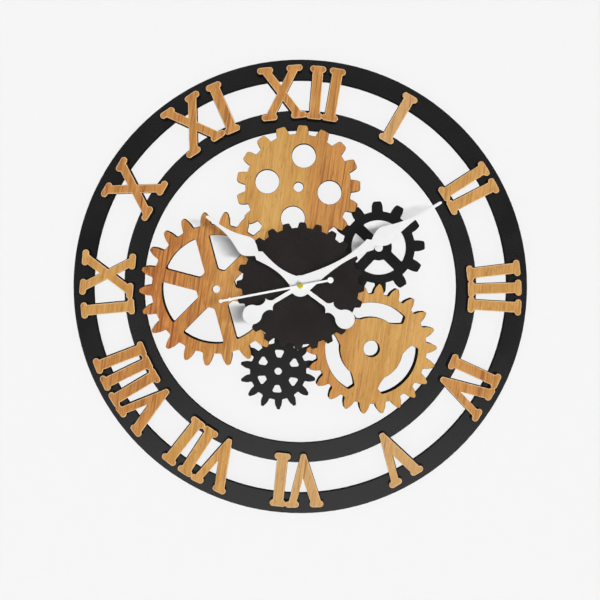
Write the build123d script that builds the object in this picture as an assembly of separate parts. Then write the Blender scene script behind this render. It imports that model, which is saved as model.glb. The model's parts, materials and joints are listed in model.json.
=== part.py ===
from build123d import *
import os
from math import cos, degrees, radians, sin

# Wooden gear wall clock, in millimetres.
# +Z is up and the front faces -Y. The origin is the middle of the hanger's keyhole, in the wall plane.
# Outlines are drawn about the hand axis as seen from the front: x to the right, y up.
# A depth is measured forward from the wall. A clock angle runs clockwise from twelve, in degrees.

# Boards and rings
BOARD_T = 6.0
PAD_T = 3.0
OUTER_RING_R = 300.0
OUTER_RING_W = 26.5
INNER_RING_R = 232.7
INNER_RING_W = 25.8

# Board layers, as depths of their back faces
RING_DEPTH = PAD_T
MIDDLE_DEPTH = RING_DEPTH + BOARD_T
FACE_DEPTH = MIDDLE_DEPTH + BOARD_T
PLATE_DEPTH = FACE_DEPTH + BOARD_T
FRONT_DEPTH = PLATE_DEPTH + BOARD_T

# Numerals: each foot laps the inner ring and each head laps the outer ring
FOOT_LAP = 12.4
HEAD_LAP = 17.1
SERIF_H = 8.5
SERIF_LAP = 0.9
TIGHT_SERIF_LAP = 2.0
I_STEM = 13.8
I_SERIF = 21.3
X_WIDTH = 59.8
X_STROKE = 12.9
X_SERIF = 21.0
V_WIDTH = 50.2
V_THICK = 14.0
V_THIN = 10.5
V_SERIF = 18.0
V_APEX_W = 6.0
V_APEX_R = 2.4
HOUR_STEP = 30.0
# Each numeral's letters, its shift from the hour mark and its twist, both clockwise in degrees,
# how far it sits outward, and how far its serifs lap
NUMERALS = [
    ("I", 0.2, 0.0, 0.0, SERIF_LAP),
    ("II", -0.1, 0.0, 0.0, SERIF_LAP),
    ("III", 0.6, -2.4, 0.0, SERIF_LAP),
    ("IV", 0.7, -1.5, 0.0, SERIF_LAP),
    ("V", 1.1, -1.2, 0.0, SERIF_LAP),
    ("VI", 1.3, 0.0, 0.0, SERIF_LAP),
    ("VII", -0.2, 1.2, 0.0, SERIF_LAP),
    ("VIII", -1.0, 0.6, 0.0, TIGHT_SERIF_LAP),
    ("IX", 1.0, 1.4, -1.5, SERIF_LAP),
    ("X", 0.4, 0.0, -2.6, SERIF_LAP),
    ("XI", -1.0, 0.0, 0.0, SERIF_LAP),
    ("XII", -0.2, 0.0, 0.0, SERIF_LAP),
]

# Top gear, from its reach towards the hand axis to its lap on the inner ring
TOP_TEETH = 17
TOP_AXIS_GAP = 49.2
TOP_TOOTH_H = 11.8
TOP_TOOTH_BASE_W = 16.4
TOP_TOOTH_TIP_W = 11.4
TOP_TOOTH_BULGE = 0.7
TOP_TIP_CORNER_R = 2.8
TOP_ROOT_CORNER_R = 1.6
TOP_FIRST_TOOTH = 85.75
TOP_BEARING = 91.1
TOP_RING_LAP = 5.1
TOP_HUB_R = 6.5
TOP_HOLES = 4
TOP_FIRST_HOLE = 80.0
TOP_HOLE_R = 15.8
TOP_RIM_W = 12.2

# Left gear, from its reach towards the hand axis to its lap on the inner ring
LEFT_TEETH = 22
LEFT_AXIS_GAP = 9.4
LEFT_TOOTH_H = 16.4
LEFT_TOOTH_BASE_W = 13.2
LEFT_TOOTH_TIP_W = 7.0
LEFT_TOOTH_CROWN = 2.6
LEFT_TOOTH_BULGE = 1.0
LEFT_ROOT_CORNER_R = 3.2
LEFT_FIRST_TOOTH = -80.75
LEFT_BEARING = 182.0
LEFT_RING_LAP = 3.5
LEFT_HUB_R = 5.0
# The backing's hub hole is wider by this much for each millimetre that the backing is lifted
LEFT_HUB_ROOM = 1.3
LEFT_SPOKES = 6
LEFT_FIRST_SPOKE = -14.8
LEFT_WINDOW_IN_R = 25.4
LEFT_WINDOW_IN_CORNER_R = 4.5
LEFT_WINDOW_OUT_CORNER_R = 2.4
LEFT_RIM_W = 13.0
LEFT_SPOKE_W = 17.4
LEFT_BACKING_LIFT = 1.7

# Lower right gear, from its reach towards the hand axis to its lap on the inner ring
RIGHT_TEETH = 22
RIGHT_AXIS_GAP = 38.5
RIGHT_TOOTH_H = 13.4
RIGHT_TOOTH_BASE_W = 13.4
RIGHT_TOOTH_TIP_W = 6.0
RIGHT_TOOTH_CROWN = 2.3
RIGHT_TOOTH_BULGE = 1.1
RIGHT_ROOT_CORNER_R = 2.4
RIGHT_FIRST_TOOTH = 0.9
RIGHT_BEARING = -41.3
RIGHT_RING_LAP = 2.0
RIGHT_HUB_R = 10.6
RIGHT_SLOTS = 3
RIGHT_FIRST_SLOT = -38.3
RIGHT_RIM_W = 11.4
RIGHT_SLOT_W = 19.3
RIGHT_SLOT_END_W = 7.4
RIGHT_SLOT_IN_HALF = 27.5
RIGHT_SLOT_WAIST_HALF = 38.0
RIGHT_SLOT_MID_HALF = 43.0
RIGHT_SLOT_OUT_HALF = 38.5
RIGHT_SLOT_CORNER_R = 1.8
RIGHT_BACKING_SHIFT = -1.2
RIGHT_BACKING_LIFT = 0.9

# Upper right gear, its teeth lapped by the top gear and the lower right gear
UPPER_TEETH = 12
UPPER_TIP_R = 60.7
UPPER_TOOTH_H = 13.1
UPPER_TOOTH_BASE_W = 14.0
UPPER_TOOTH_TIP_W = 10.2
UPPER_TOOTH_BULGE = 0.9
UPPER_TIP_CORNER_R = 2.6
UPPER_ROOT_CORNER_R = 1.6
UPPER_FIRST_TOOTH = 2.35
UPPER_TOP_LAP = 9.6
UPPER_RIGHT_LAP = 12.0
UPPER_HUB_R = 5.8
UPPER_SPOKES = 4
UPPER_FIRST_SPOKE = -43.7
UPPER_WINDOW_IN_R = 17.2
UPPER_WINDOW_OUT_R = 36.2
UPPER_WINDOW_IN_CORNER_R = 2.4
UPPER_WINDOW_OUT_CORNER_R = 1.4
UPPER_SPOKE_W = 13.9

# Lower gear, its teeth lapped by the left gear and the lower right gear
LOWER_TEETH = 14
LOWER_TIP_R = 50.3
LOWER_TOOTH_H = 13.1
LOWER_TOOTH_BASE_W = 8.8
LOWER_TOOTH_TIP_W = 5.4
LOWER_TOOTH_CROWN = 2.4
LOWER_TOOTH_BULGE = 1.1
LOWER_ROOT_CORNER_R = 2.2
LOWER_FIRST_TOOTH = -89.5
LOWER_LEFT_LAP = 15.6
LOWER_RIGHT_LAP = 9.4
LOWER_HUB_R = 4.9
LOWER_HOLES = 6
LOWER_FIRST_HOLE = 86.5
LOWER_HOLE_IN_R = 18.0
LOWER_HOLE_OUT_R = 28.4
LOWER_HOLE_IN_W = 5.6
LOWER_HOLE_OUT_W = 14.6
LOWER_HOLE_CORNER_R = 2.6

# Centre plate, which laps the top gear, and the block that carries it there
PLATE_TEETH = 24
PLATE_TOP_LAP = 33.7
PLATE_TOOTH_H = 7.1
PLATE_TOOTH_BASE_W = 12.3
PLATE_TOOTH_TIP_W = 8.0
PLATE_TIP_CORNER_R = 2.0
PLATE_ROOT_CORNER_R = 1.2
PLATE_FIRST_TOOTH = 88.0
SPACER_W = 30.0
SPACER_H = 8.0
SPACER_INSET = 3.0

# Hands, with each blade's half widths at distances from the hand axis
HAND_T = 0.8
HAND_HUB_R = 13.7
HAND_LIFT = 0.5
HAND_PITCH = 2.8
COLLET_T = 0.6
COLLET_WALL = 1.2
TAIL_BALL_R = 12.5
TAIL_BALL_AT = 71.7
MINUTE_CLOCK = 59.3
HOUR_CLOCK = 306.6
SECOND_CLOCK = 259.2
MINUTE_RUNS = [
    [(8.0, 10.8), (27.6, 6.7), (45.0, 4.1), (63.0, 2.8), (83.5, 3.9), (104.3, 8.1)],
    [(104.3, 8.1), (109.0, 4.1)],
    [(109.0, 4.1), (116.5, 9.3), (125.0, 12.2), (140.0, 8.5), (156.0, 4.5), (172.0, 2.1)],
    [(172.0, 2.1), (209.1, 1.9)],
]
HOUR_RUNS = [
    [(7.0, 9.5), (19.5, 5.2), (36.0, 3.1), (52.7, 4.4), (65.6, 6.7)],
    [(65.6, 6.7), (70.0, 3.5)],
    [(70.0, 3.5), (77.5, 9.3), (85.0, 12.5), (95.0, 10.1), (105.0, 6.3), (116.0, 3.5), (135.0, 2.1)],
    [(135.0, 2.1), (149.1, 1.9)],
]
TAIL_RUNS = [
    [(0.0, 2.7), (39.8, 2.6)],
    [(39.8, 2.6), (43.5, 4.6), (46.5, 9.1)],
    [(46.5, 9.1), (51.0, 5.4), (55.3, 5.0), (63.5, 9.0)],
]
SECOND_ROD_HALF_W = 1.4
SECOND_REACH = 103.6
SECOND_BEAD_R = 2.4
SECOND_BEAD_STEP = 11.8
SECOND_TAIL = 39.3
SECOND_TAIL_BALL_R = 3.9
SECOND_BOSS_R = 3.7
SECOND_BOSS_T = 2.0
SECOND_BOSS_EDGE_R = 1.6

# Hanger and wall pads
STEEL_T = 1.0
KEYHOLE_R = 4.0
KEYHOLE_SLOT_W = 4.0
KEYHOLE_SLOT_RISE = 7.0
HANGER_H = 24.0
HANGER_HAT_W = 20.0
HANGER_FLANGE_W = 11.0
HEAD_POCKET_W = 14.0
HEAD_POCKET_H = 23.0
HEAD_POCKET_T = 2.5
HEAD_POCKET_CORNER_R = 4.0
SCREW_R = 1.5
SCREW_HEAD_R = 2.8
SCREW_HEAD_T = 1.2
SCREW_CROSS_L = 2.8
SCREW_CROSS_W = 0.7
SCREW_CROSS_T = 0.6
SCREW_GRIP = 4.0
PAD_R = 8.0
PAD_CLOCKS = (145.0, 215.0)

# Quartz movement: case and fixings
CASE_WALL = 1.2
CASE_CORNER_R = 3.0
TRAIN_GAP = 1.35
RUBBER_T = 1.0
RUBBER_R = 11.0
POCKET_GAP = 2.0
BUSH_R = 4.0
BUSH_HOLE_GAP = 0.1
BUSH_PROUD = 0.5
WASHER_R = 8.0
WASHER_T = 0.8
NUT_FLATS = 12.0
NUT_T = 3.2
PILLAR_R = 1.6
PILLAR_INSET = 2.5
BRIDGE_T = 1.0
BAY_GAP = 0.3
STUD_L = 1.2

# Movement's arbors
RUN_GAP = 0.05
END_PLAY = 0.3
PIVOT_R = 0.4
PIVOT_L = 0.6
ARBOR_R = 0.6
SETTING_ARBOR_R = 1.0
MINUTE_TUBE_R = 1.6
HOUR_TUBE_R = 2.4
CLUTCH_R = 1.8
KNOB_R = 6.0
KNOB_T = 2.7
KNOB_RIDGES = 20
KNOB_RIDGE_H = 0.5
KNOB_RIDGE_BASE_W = 1.3
KNOB_RIDGE_TIP_W = 0.8

# Movement's teeth, in modules
TOOTH_ABOVE = 0.8
TOOTH_BELOW = 1.1
TOOTH_BASE_W = 1.35
TOOTH_TIP_W = 0.7

# Movement's wheels: teeth, module and bearing of each axis from the one that drives it
MOTION_MODULE = 0.65
HOUR_TEETH = 32
MINUTE_PINION_TEETH = 8
CANNON_TEETH = 10
MINUTE_WHEEL_TEETH = 30
CENTRE_MODULE = 0.34
CENTRE_TEETH = 64
THIRD_PINION_TEETH = 8
THIRD_TEETH = 60
SECOND_PINION_TEETH = 8
SECOND_MODULE = 0.36
SECOND_TEETH = 60
INTERMEDIATE_PINION_TEETH = 10
ROTOR_MODULE = 0.22
INTERMEDIATE_TEETH = 60
ROTOR_TEETH = 12
SETTING_BEARING = 180.0
THIRD_BEARING = 115.0
INTERMEDIATE_BEARING = 20.0
ROTOR_BEARING = 95.0
WHEEL_T = 1.0
WHEEL_STEP = 1.9
MAGNET_R = 2.5
MAGNET_T = 1.8
MAGNET_GAP = 0.5

# Movement's coil, board and cell
STATOR_T = 1.0
STATOR_SPAN = 18.8
STATOR_LEG_W = 3.0
STATOR_YOKE_H = 7.0
STATOR_SEAT = 2.8
COIL_R = 2.8
COIL_FLANGE_R = 3.3
COIL_FLANGE_T = 0.8
COIL_GAP = 2.2
CORE_W = 3.0
BOARD_SEAT = 0.8
BOARD_SEAT_H = 2.5
CIRCUIT_T = 1.0
CIRCUIT_W = 14.2
CIRCUIT_H = 10.0
CRYSTAL_R = 1.0
CRYSTAL_L = 6.0
CELL_R = 7.25
CELL_L = 49.2
CELL_NUB_R = 2.6
CELL_NUB_L = 1.3
CONTACT_T = 0.4
CONTACT_W = 9.0
CONTACT_BOW = 1.4
CONTACT_GAP = 0.15

# Places worked out from the sizes above
HANG_HEIGHT = OUTER_RING_R - OUTER_RING_W / 2
RING_HOLE_R = INNER_RING_R - INNER_RING_W
NUMERAL_BASE_R = INNER_RING_R - FOOT_LAP
NUMERAL_TOP_R = OUTER_RING_R - OUTER_RING_W + HEAD_LAP
NUMERAL_H = NUMERAL_TOP_R - NUMERAL_BASE_R
NUT_FRONT = FRONT_DEPTH + WASHER_T + NUT_T
BUSH_FRONT = NUT_FRONT + BUSH_PROUD
HOUR_DEPTH = BUSH_FRONT + HAND_LIFT
MINUTE_DEPTH = HOUR_DEPTH + HAND_PITCH
SECOND_DEPTH = MINUTE_DEPTH + HAND_PITCH


def at(radius, angle):
    """Point at a radius and an angle, anticlockwise from +x."""
    return Vector(radius * cos(radians(angle)), radius * sin(radians(angle)))


def on_clock(clock):
    """Turn from twelve o'clock to a clock angle."""
    return Rot(0, 0, -clock)


def front_plane(depth):
    """Plane at a depth from the wall, facing the front, with the hand axis at its origin."""
    return Plane(origin=(0, -depth, -HANG_HEIGHT), x_dir=(1, 0, 0), z_dir=(0, -1, 0))


def slab(outline, back, front):
    """Solid of one outline between two depths from the wall."""
    return extrude(front_plane(back) * outline, amount=front - back, dir=(0, -1, 0))


def turned(centre, *steps):
    """Stepped round solid: each step is a radius and its back and front depths."""
    bars = [slab(Pos(*centre) * Circle(radius), back, front) for radius, back, front in steps]
    return bars[0] + bars[1:]


def bar_x(radius, start, end, depth, height):
    """Round bar along x, at a depth from the wall and a height over the hand axis."""
    plane = Plane(origin=(start, -depth, height - HANG_HEIGHT), x_dir=(0, 1, 0), z_dir=(1, 0, 0))
    return extrude(plane * Circle(radius), amount=end - start, dir=(1, 0, 0))


def flank(start, end, outward, bulge):
    """One side of a tooth, straight or bulging outward."""
    if bulge == 0:
        return Line(start, end)
    return ThreePointArc(start, (start + end) / 2 + outward * bulge, end)


def gear_outline(teeth, tip_r, root_r, base_w, tip_w, first, crown=0.0, bulge=0.0):
    """Toothed disc with its first tooth at a given angle."""
    pitch = 360 / teeth
    base_half = degrees(base_w / 2 / root_r)
    tip_half = degrees(tip_w / 2 / tip_r)
    edges = []
    for k in range(teeth):
        middle = first + k * pitch
        foot = at(root_r, middle - base_half)
        heel = at(root_r, middle + base_half)
        rise = at(tip_r - crown, middle - tip_half)
        fall = at(tip_r - crown, middle + tip_half)
        next_foot = at(root_r, middle + pitch - base_half)
        edges.append(flank(foot, rise, at(1, middle - 90), bulge))
        edges.append(ThreePointArc(rise, at(tip_r, middle), fall))
        edges.append(flank(fall, heel, at(1, middle + 90), bulge))
        edges.append(ThreePointArc(heel, at(root_r, middle + pitch / 2), next_foot))
    return make_face(edges)


def rounded(outline, split_r, in_corner_r, out_corner_r=0.0):
    """Round an outline's corners inside a split radius, and those outside it where they have a radius."""
    inner = [v for v in outline.vertices() if Vector(v.X, v.Y).length < split_r]
    outline = fillet(inner, in_corner_r)
    if out_corner_r == 0:
        return outline
    outer = [v for v in outline.vertices() if Vector(v.X, v.Y).length > split_r]
    return fillet(outer, out_corner_r)


def spoked_windows(count, first_spoke, spoke_w, in_r, out_r, in_corner_r, out_corner_r):
    """Windows left between parallel-sided spokes, with rounded corners."""
    spoke = Pos(out_r, 0) * Rectangle(2 * out_r, spoke_w)
    spokes = [Rot(0, 0, first_spoke + k * 360 / count) * spoke for k in range(count)]
    windows = Circle(out_r) - Circle(in_r) - spokes
    return rounded(windows, (in_r + out_r) / 2, in_corner_r, out_corner_r)


def lapped_gear(bearing, axis_gap, lap):
    """Outer radius and centre of a gear that reaches from near the hand axis to a lap on the inner ring."""
    tip_r = (RING_HOLE_R + lap - axis_gap) / 2
    return tip_r, at(axis_gap + tip_r, bearing)


def meshed_centre(first, first_reach, second, second_reach):
    """Centre at two given distances from two gears, on the side away from the hand axis."""
    span = second - first
    along = (first_reach**2 - second_reach**2 + span.length**2) / (2 * span.length)
    across = (first_reach**2 - along**2) ** 0.5
    unit = span.normalized()
    foot = first + unit * along
    side = Vector(-unit.Y, unit.X)
    return max(foot + side * across, foot - side * across, key=lambda p: p.length)


TOP_TIP_R, TOP_CENTRE = lapped_gear(TOP_BEARING, TOP_AXIS_GAP, TOP_RING_LAP)
LEFT_TIP_R, LEFT_CENTRE = lapped_gear(LEFT_BEARING, LEFT_AXIS_GAP, LEFT_RING_LAP)
RIGHT_TIP_R, RIGHT_CENTRE = lapped_gear(RIGHT_BEARING, RIGHT_AXIS_GAP, RIGHT_RING_LAP)
UPPER_CENTRE = meshed_centre(
    TOP_CENTRE, TOP_TIP_R + UPPER_TIP_R - UPPER_TOP_LAP,
    RIGHT_CENTRE, RIGHT_TIP_R + UPPER_TIP_R - UPPER_RIGHT_LAP,
)
LOWER_CENTRE = meshed_centre(
    LEFT_CENTRE, LEFT_TIP_R + LOWER_TIP_R - LOWER_LEFT_LAP,
    RIGHT_CENTRE, RIGHT_TIP_R + LOWER_TIP_R - LOWER_RIGHT_LAP,
)
PLATE_TIP_R = TOP_AXIS_GAP + PLATE_TOP_LAP


# Movement: places of its axes, its layers and its case

def wheel_tip_r(teeth, module):
    """Outer radius of one of the movement's wheels."""
    return module * (teeth / 2 + TOOTH_ABOVE)


def layer(index):
    """Back and front depths of one wheel layer, counted backwards from the hour wheel."""
    front = CASE_FLOOR - END_PLAY - index * WHEEL_STEP
    return front - WHEEL_T, front


CASE_FRONT = PLATE_DEPTH - RUBBER_T
CASE_FLOOR = CASE_FRONT - CASE_WALL
HOUR_LAYER = layer(0)
MINUTE_LAYER = layer(1)
CENTRE_LAYER = layer(2)
THIRD_LAYER = layer(3)
SECOND_LAYER = layer(4)
INTERMEDIATE_LAYER = layer(5)
BRIDGE_FRONT = INTERMEDIATE_LAYER[0] - 2 * END_PLAY
BRIDGE_BACK = BRIDGE_FRONT - BRIDGE_T
CELL_DEPTH = CASE_FLOOR - BAY_GAP - CELL_R
CASE_BACK = min(CELL_DEPTH - CELL_R, BRIDGE_BACK - STUD_L - CASE_WALL)
COVER_FRONT = CASE_BACK + CASE_WALL

MOTION_SPAN = MOTION_MODULE * (HOUR_TEETH + MINUTE_PINION_TEETH) / 2
THIRD_SPAN = CENTRE_MODULE * (CENTRE_TEETH + THIRD_PINION_TEETH) / 2
THIRD_MODULE = 2 * THIRD_SPAN / (THIRD_TEETH + SECOND_PINION_TEETH)
CANNON_MODULE = 2 * MOTION_SPAN / (CANNON_TEETH + MINUTE_WHEEL_TEETH)
INTERMEDIATE_SPAN = SECOND_MODULE * (SECOND_TEETH + INTERMEDIATE_PINION_TEETH) / 2
ROTOR_SPAN = ROTOR_MODULE * (INTERMEDIATE_TEETH + ROTOR_TEETH) / 2
HAND_AXIS = Vector(0, 0)
SETTING_AXIS = at(MOTION_SPAN, SETTING_BEARING)
THIRD_AXIS = at(THIRD_SPAN, THIRD_BEARING)
INTERMEDIATE_AXIS = at(INTERMEDIATE_SPAN, INTERMEDIATE_BEARING)
ROTOR_AXIS = INTERMEDIATE_AXIS + at(ROTOR_SPAN, ROTOR_BEARING)

HAND_AXIS_REACH = max(
    wheel_tip_r(HOUR_TEETH, MOTION_MODULE),
    wheel_tip_r(CENTRE_TEETH, CENTRE_MODULE),
    wheel_tip_r(SECOND_TEETH, SECOND_MODULE),
)
TRAIN_BASE = -HAND_AXIS_REACH - TRAIN_GAP
BAY_TOP = TRAIN_BASE - CASE_WALL
CELL_HEIGHT = BAY_TOP - BAY_GAP - CELL_R
CASE_BASE = CELL_HEIGHT - CELL_R - BAY_GAP - CASE_WALL
COIL_HEIGHT = ROTOR_AXIS.Y + STATOR_YOKE_H / 2 + COIL_GAP + COIL_FLANGE_R
CASE_TOP = COIL_HEIGHT + COIL_FLANGE_R + BAY_GAP + CASE_WALL
INSIDE_HALF_W = (CELL_L + CELL_NUB_L) / 2 + CONTACT_GAP + CONTACT_BOW
CASE_W = 2 * (INSIDE_HALF_W + CASE_WALL)


# Rings, hanger and pads

def keyhole():
    """Round hole with a narrower slot above it."""
    slot = Pos(0, KEYHOLE_SLOT_RISE / 2) * Rectangle(KEYHOLE_SLOT_W, KEYHOLE_SLOT_RISE)
    end = Pos(0, KEYHOLE_SLOT_RISE) * Circle(KEYHOLE_SLOT_W / 2)
    return Circle(KEYHOLE_R) + slot + end


def hanger_screw_places():
    """The two screws through the hanger's flanges."""
    reach = HANGER_HAT_W / 2 + HANGER_FLANGE_W / 2
    return [Pos(side * reach, HANG_HEIGHT) for side in (-1, 1)]


def outer_ring():
    ring = slab(Circle(OUTER_RING_R) - Circle(OUTER_RING_R - OUTER_RING_W), RING_DEPTH, MIDDLE_DEPTH)
    pocket = Pos(0, HANG_HEIGHT) * RectangleRounded(HEAD_POCKET_W, HEAD_POCKET_H, HEAD_POCKET_CORNER_R)
    ring -= slab(pocket, RING_DEPTH, RING_DEPTH + HEAD_POCKET_T)
    for place in hanger_screw_places():
        ring -= slab(place * Circle(SCREW_R), RING_DEPTH, RING_DEPTH + SCREW_GRIP)
    return ring


def inner_ring():
    return slab(Circle(INNER_RING_R) - Circle(RING_HOLE_R), RING_DEPTH, MIDDLE_DEPTH)


def hanger_plate():
    """Hat-shaped plate: a raised keyhole face, two legs and two flanges screwed to the ring."""
    here = Pos(0, HANG_HEIGHT)
    width = HANGER_HAT_W + 2 * HANGER_FLANGE_W
    plate = slab(here * Rectangle(HANGER_HAT_W, HANGER_H), 0, RING_DEPTH)
    plate -= slab(here * Rectangle(HANGER_HAT_W - 2 * STEEL_T, HANGER_H), STEEL_T, RING_DEPTH)
    flanges = Rectangle(width, HANGER_H) - Rectangle(HANGER_HAT_W - 2 * STEEL_T, HANGER_H)
    plate += slab(here * flanges, RING_DEPTH - STEEL_T, RING_DEPTH)
    plate -= slab(here * keyhole(), 0, STEEL_T)
    for place in hanger_screw_places():
        plate -= slab(place * Circle(SCREW_R), RING_DEPTH - STEEL_T, RING_DEPTH)
    return plate


def hanger_screws():
    """Two pan-head screws, each with a cross recess."""
    head_front = RING_DEPTH - STEEL_T
    head_back = head_front - SCREW_HEAD_T
    cross = Rectangle(SCREW_CROSS_L, SCREW_CROSS_W) + Rectangle(SCREW_CROSS_W, SCREW_CROSS_L)
    screws = []
    for place in hanger_screw_places():
        screw = slab(place * Circle(SCREW_HEAD_R), head_back, head_front)
        screw += slab(place * Circle(SCREW_R), head_front, RING_DEPTH + SCREW_GRIP)
        screws.append(screw - slab(place * cross, head_back, head_back + SCREW_CROSS_T))
    return Compound([screw.solid() for screw in screws])


def wall_pads():
    """Soft pads that keep the ring off the wall."""
    pads = [on_clock(clock) * Pos(0, HANG_HEIGHT) * Circle(PAD_R) for clock in PAD_CLOCKS]
    return Compound([slab(pad, 0, PAD_T).solid() for pad in pads])


# Numerals

def serif(width, x, top):
    """Round-ended serif at the foot or the head of a letter."""
    height = NUMERAL_H - SERIF_H / 2 if top else SERIF_H / 2
    return Pos(x, height) * SlotOverall(width, SERIF_H)


def stroke(foot_x, head_x, width):
    """Slanting stroke with a constant level width, between the middles of the serifs."""
    low = SERIF_H / 2
    high = NUMERAL_H - SERIF_H / 2
    half = width / 2
    corners = [(foot_x - half, low), (foot_x + half, low), (head_x + half, high), (head_x - half, high)]
    return make_face(Polyline(*corners, close=True))


def letter_i():
    return stroke(0, 0, I_STEM) + [serif(I_SERIF, 0, False), serif(I_SERIF, 0, True)]


def letter_x():
    arm = X_WIDTH / 2 - X_SERIF / 2
    serifs = [serif(X_SERIF, side * arm, top) for side in (-1, 1) for top in (False, True)]
    return stroke(-arm, arm, X_STROKE) + [stroke(arm, -arm, X_STROKE)] + serifs


def letter_v():
    """A thick and a thin stroke that meet in a rounded apex."""
    arm = V_WIDTH / 2 - V_SERIF / 2
    apex = V_APEX_W / 2
    high = NUMERAL_H - SERIF_H / 2
    left = -arm - V_THICK / 2
    right = arm + V_THIN / 2
    share = (V_THICK + V_THIN - V_APEX_W) / (right - left - V_APEX_W)
    crotch = (-apex + (left + apex) * share + V_THICK, high * share)
    wedge = make_face(Polyline((-apex, 0), (apex, 0), (right, high), (left, high), close=True))
    toes = [v for v in wedge.vertices() if v.Y < V_APEX_R / 2]
    notch = make_face(Polyline(crotch, (right - V_THIN, high), (left + V_THICK, high), close=True))
    return fillet(toes, V_APEX_R) - notch + [serif(V_SERIF, -arm, True), serif(V_SERIF, arm, True)]


LETTERS = {"I": letter_i(), "V": letter_v(), "X": letter_x()}
LETTER_WIDTHS = {"I": I_SERIF, "V": V_WIDTH, "X": X_WIDTH}
FOOT_TOUCH_R = NUMERAL_BASE_R + SERIF_H / 2
HEAD_TOUCH_R = NUMERAL_TOP_R - SERIF_H / 2


def spread(width, letters):
    """Angle that a width takes, at the serifs where these letters touch."""
    touch_r = HEAD_TOUCH_R if "V" in letters else FOOT_TOUCH_R
    return degrees(width / touch_r)


def numeral(hour, letters, shift, twist, outward, lap):
    """Letters on one arc, each upright on its own radius and fused to its neighbour's serif."""
    angles = [0.0]
    for a, b in zip(letters, letters[1:]):
        width = (LETTER_WIDTHS[a] + LETTER_WIDTHS[b]) / 2 - lap
        angles.append(angles[-1] + spread(width, a + b))
    start = angles[0] - spread(LETTER_WIDTHS[letters[0]] / 2, letters[0])
    end = angles[-1] + spread(LETTER_WIDTHS[letters[-1]] / 2, letters[-1])
    middle = (start + end) / 2
    placed = [
        on_clock(angle - middle) * Pos(0, NUMERAL_BASE_R) * LETTERS[letter]
        for angle, letter in zip(angles, letters)
    ]
    outline = placed[0] + placed[1:]
    pivot = (NUMERAL_BASE_R + NUMERAL_TOP_R) / 2
    twisted = Pos(0, pivot + outward) * on_clock(twist) * Pos(0, -pivot) * outline
    return slab(on_clock(hour * HOUR_STEP + shift) * twisted, MIDDLE_DEPTH, FACE_DEPTH)


# Decorative gears

def movement_pocket():
    """Room for the movement's case through the gears behind the centre plate."""
    room = Rectangle(CASE_W + 2 * POCKET_GAP, CASE_TOP - CASE_BASE + 2 * POCKET_GAP)
    return Pos(0, (CASE_TOP + CASE_BASE) / 2) * room


def top_gear_outline():
    root_r = TOP_TIP_R - TOP_TOOTH_H
    outline = gear_outline(
        TOP_TEETH, TOP_TIP_R, root_r, TOP_TOOTH_BASE_W, TOP_TOOTH_TIP_W, TOP_FIRST_TOOTH,
        bulge=TOP_TOOTH_BULGE,
    )
    outline = rounded(outline, TOP_TIP_R - TOP_TOOTH_H / 2, TOP_ROOT_CORNER_R, TOP_TIP_CORNER_R)
    angles = [TOP_FIRST_HOLE + k * 360 / TOP_HOLES for k in range(TOP_HOLES)]
    circle_r = root_r - TOP_RIM_W - TOP_HOLE_R
    holes = [Pos(*at(circle_r, angle)) * Circle(TOP_HOLE_R) for angle in angles]
    return Pos(*TOP_CENTRE) * (outline - Circle(TOP_HUB_R) - holes)


def left_gear_outline(lift=0.0):
    """Left gear's outline, raised by a lift, with room for the movement's case."""
    root_r = LEFT_TIP_R - LEFT_TOOTH_H
    outline = gear_outline(
        LEFT_TEETH, LEFT_TIP_R, root_r, LEFT_TOOTH_BASE_W, LEFT_TOOTH_TIP_W, LEFT_FIRST_TOOTH,
        LEFT_TOOTH_CROWN, LEFT_TOOTH_BULGE,
    )
    outline = rounded(outline, LEFT_TIP_R - LEFT_TOOTH_H / 2, LEFT_ROOT_CORNER_R)
    windows = spoked_windows(
        LEFT_SPOKES, LEFT_FIRST_SPOKE, LEFT_SPOKE_W, LEFT_WINDOW_IN_R, root_r - LEFT_RIM_W,
        LEFT_WINDOW_IN_CORNER_R, LEFT_WINDOW_OUT_CORNER_R,
    )
    gear = outline - Circle(LEFT_HUB_R + LEFT_HUB_ROOM * lift) - windows
    return Pos(LEFT_CENTRE.X, LEFT_CENTRE.Y + lift) * gear - movement_pocket()


def crescent_slot(middle, out_r):
    """Curved slot with angled ends, wider along its outer edge."""
    mid_r = out_r - RIGHT_SLOT_END_W
    in_r = out_r - RIGHT_SLOT_W
    waist_r = (mid_r + in_r) / 2
    out_a, out_b = [at(out_r, middle + end * RIGHT_SLOT_OUT_HALF) for end in (-1, 1)]
    mid_a, mid_b = [at(mid_r, middle + end * RIGHT_SLOT_MID_HALF) for end in (-1, 1)]
    waist_a, waist_b = [at(waist_r, middle + end * RIGHT_SLOT_WAIST_HALF) for end in (-1, 1)]
    in_a, in_b = [at(in_r, middle + end * RIGHT_SLOT_IN_HALF) for end in (-1, 1)]
    slot = make_face([
        ThreePointArc(out_a, at(out_r, middle), out_b),
        Line(out_b, mid_b),
        ThreePointArc(mid_b, waist_b, in_b),
        ThreePointArc(in_b, at(in_r, middle), in_a),
        ThreePointArc(in_a, waist_a, mid_a),
        Line(mid_a, out_a),
    ])
    corners = [v for v in slot.vertices() if Vector(v.X, v.Y).length > waist_r]
    return fillet(corners, RIGHT_SLOT_CORNER_R)


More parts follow.
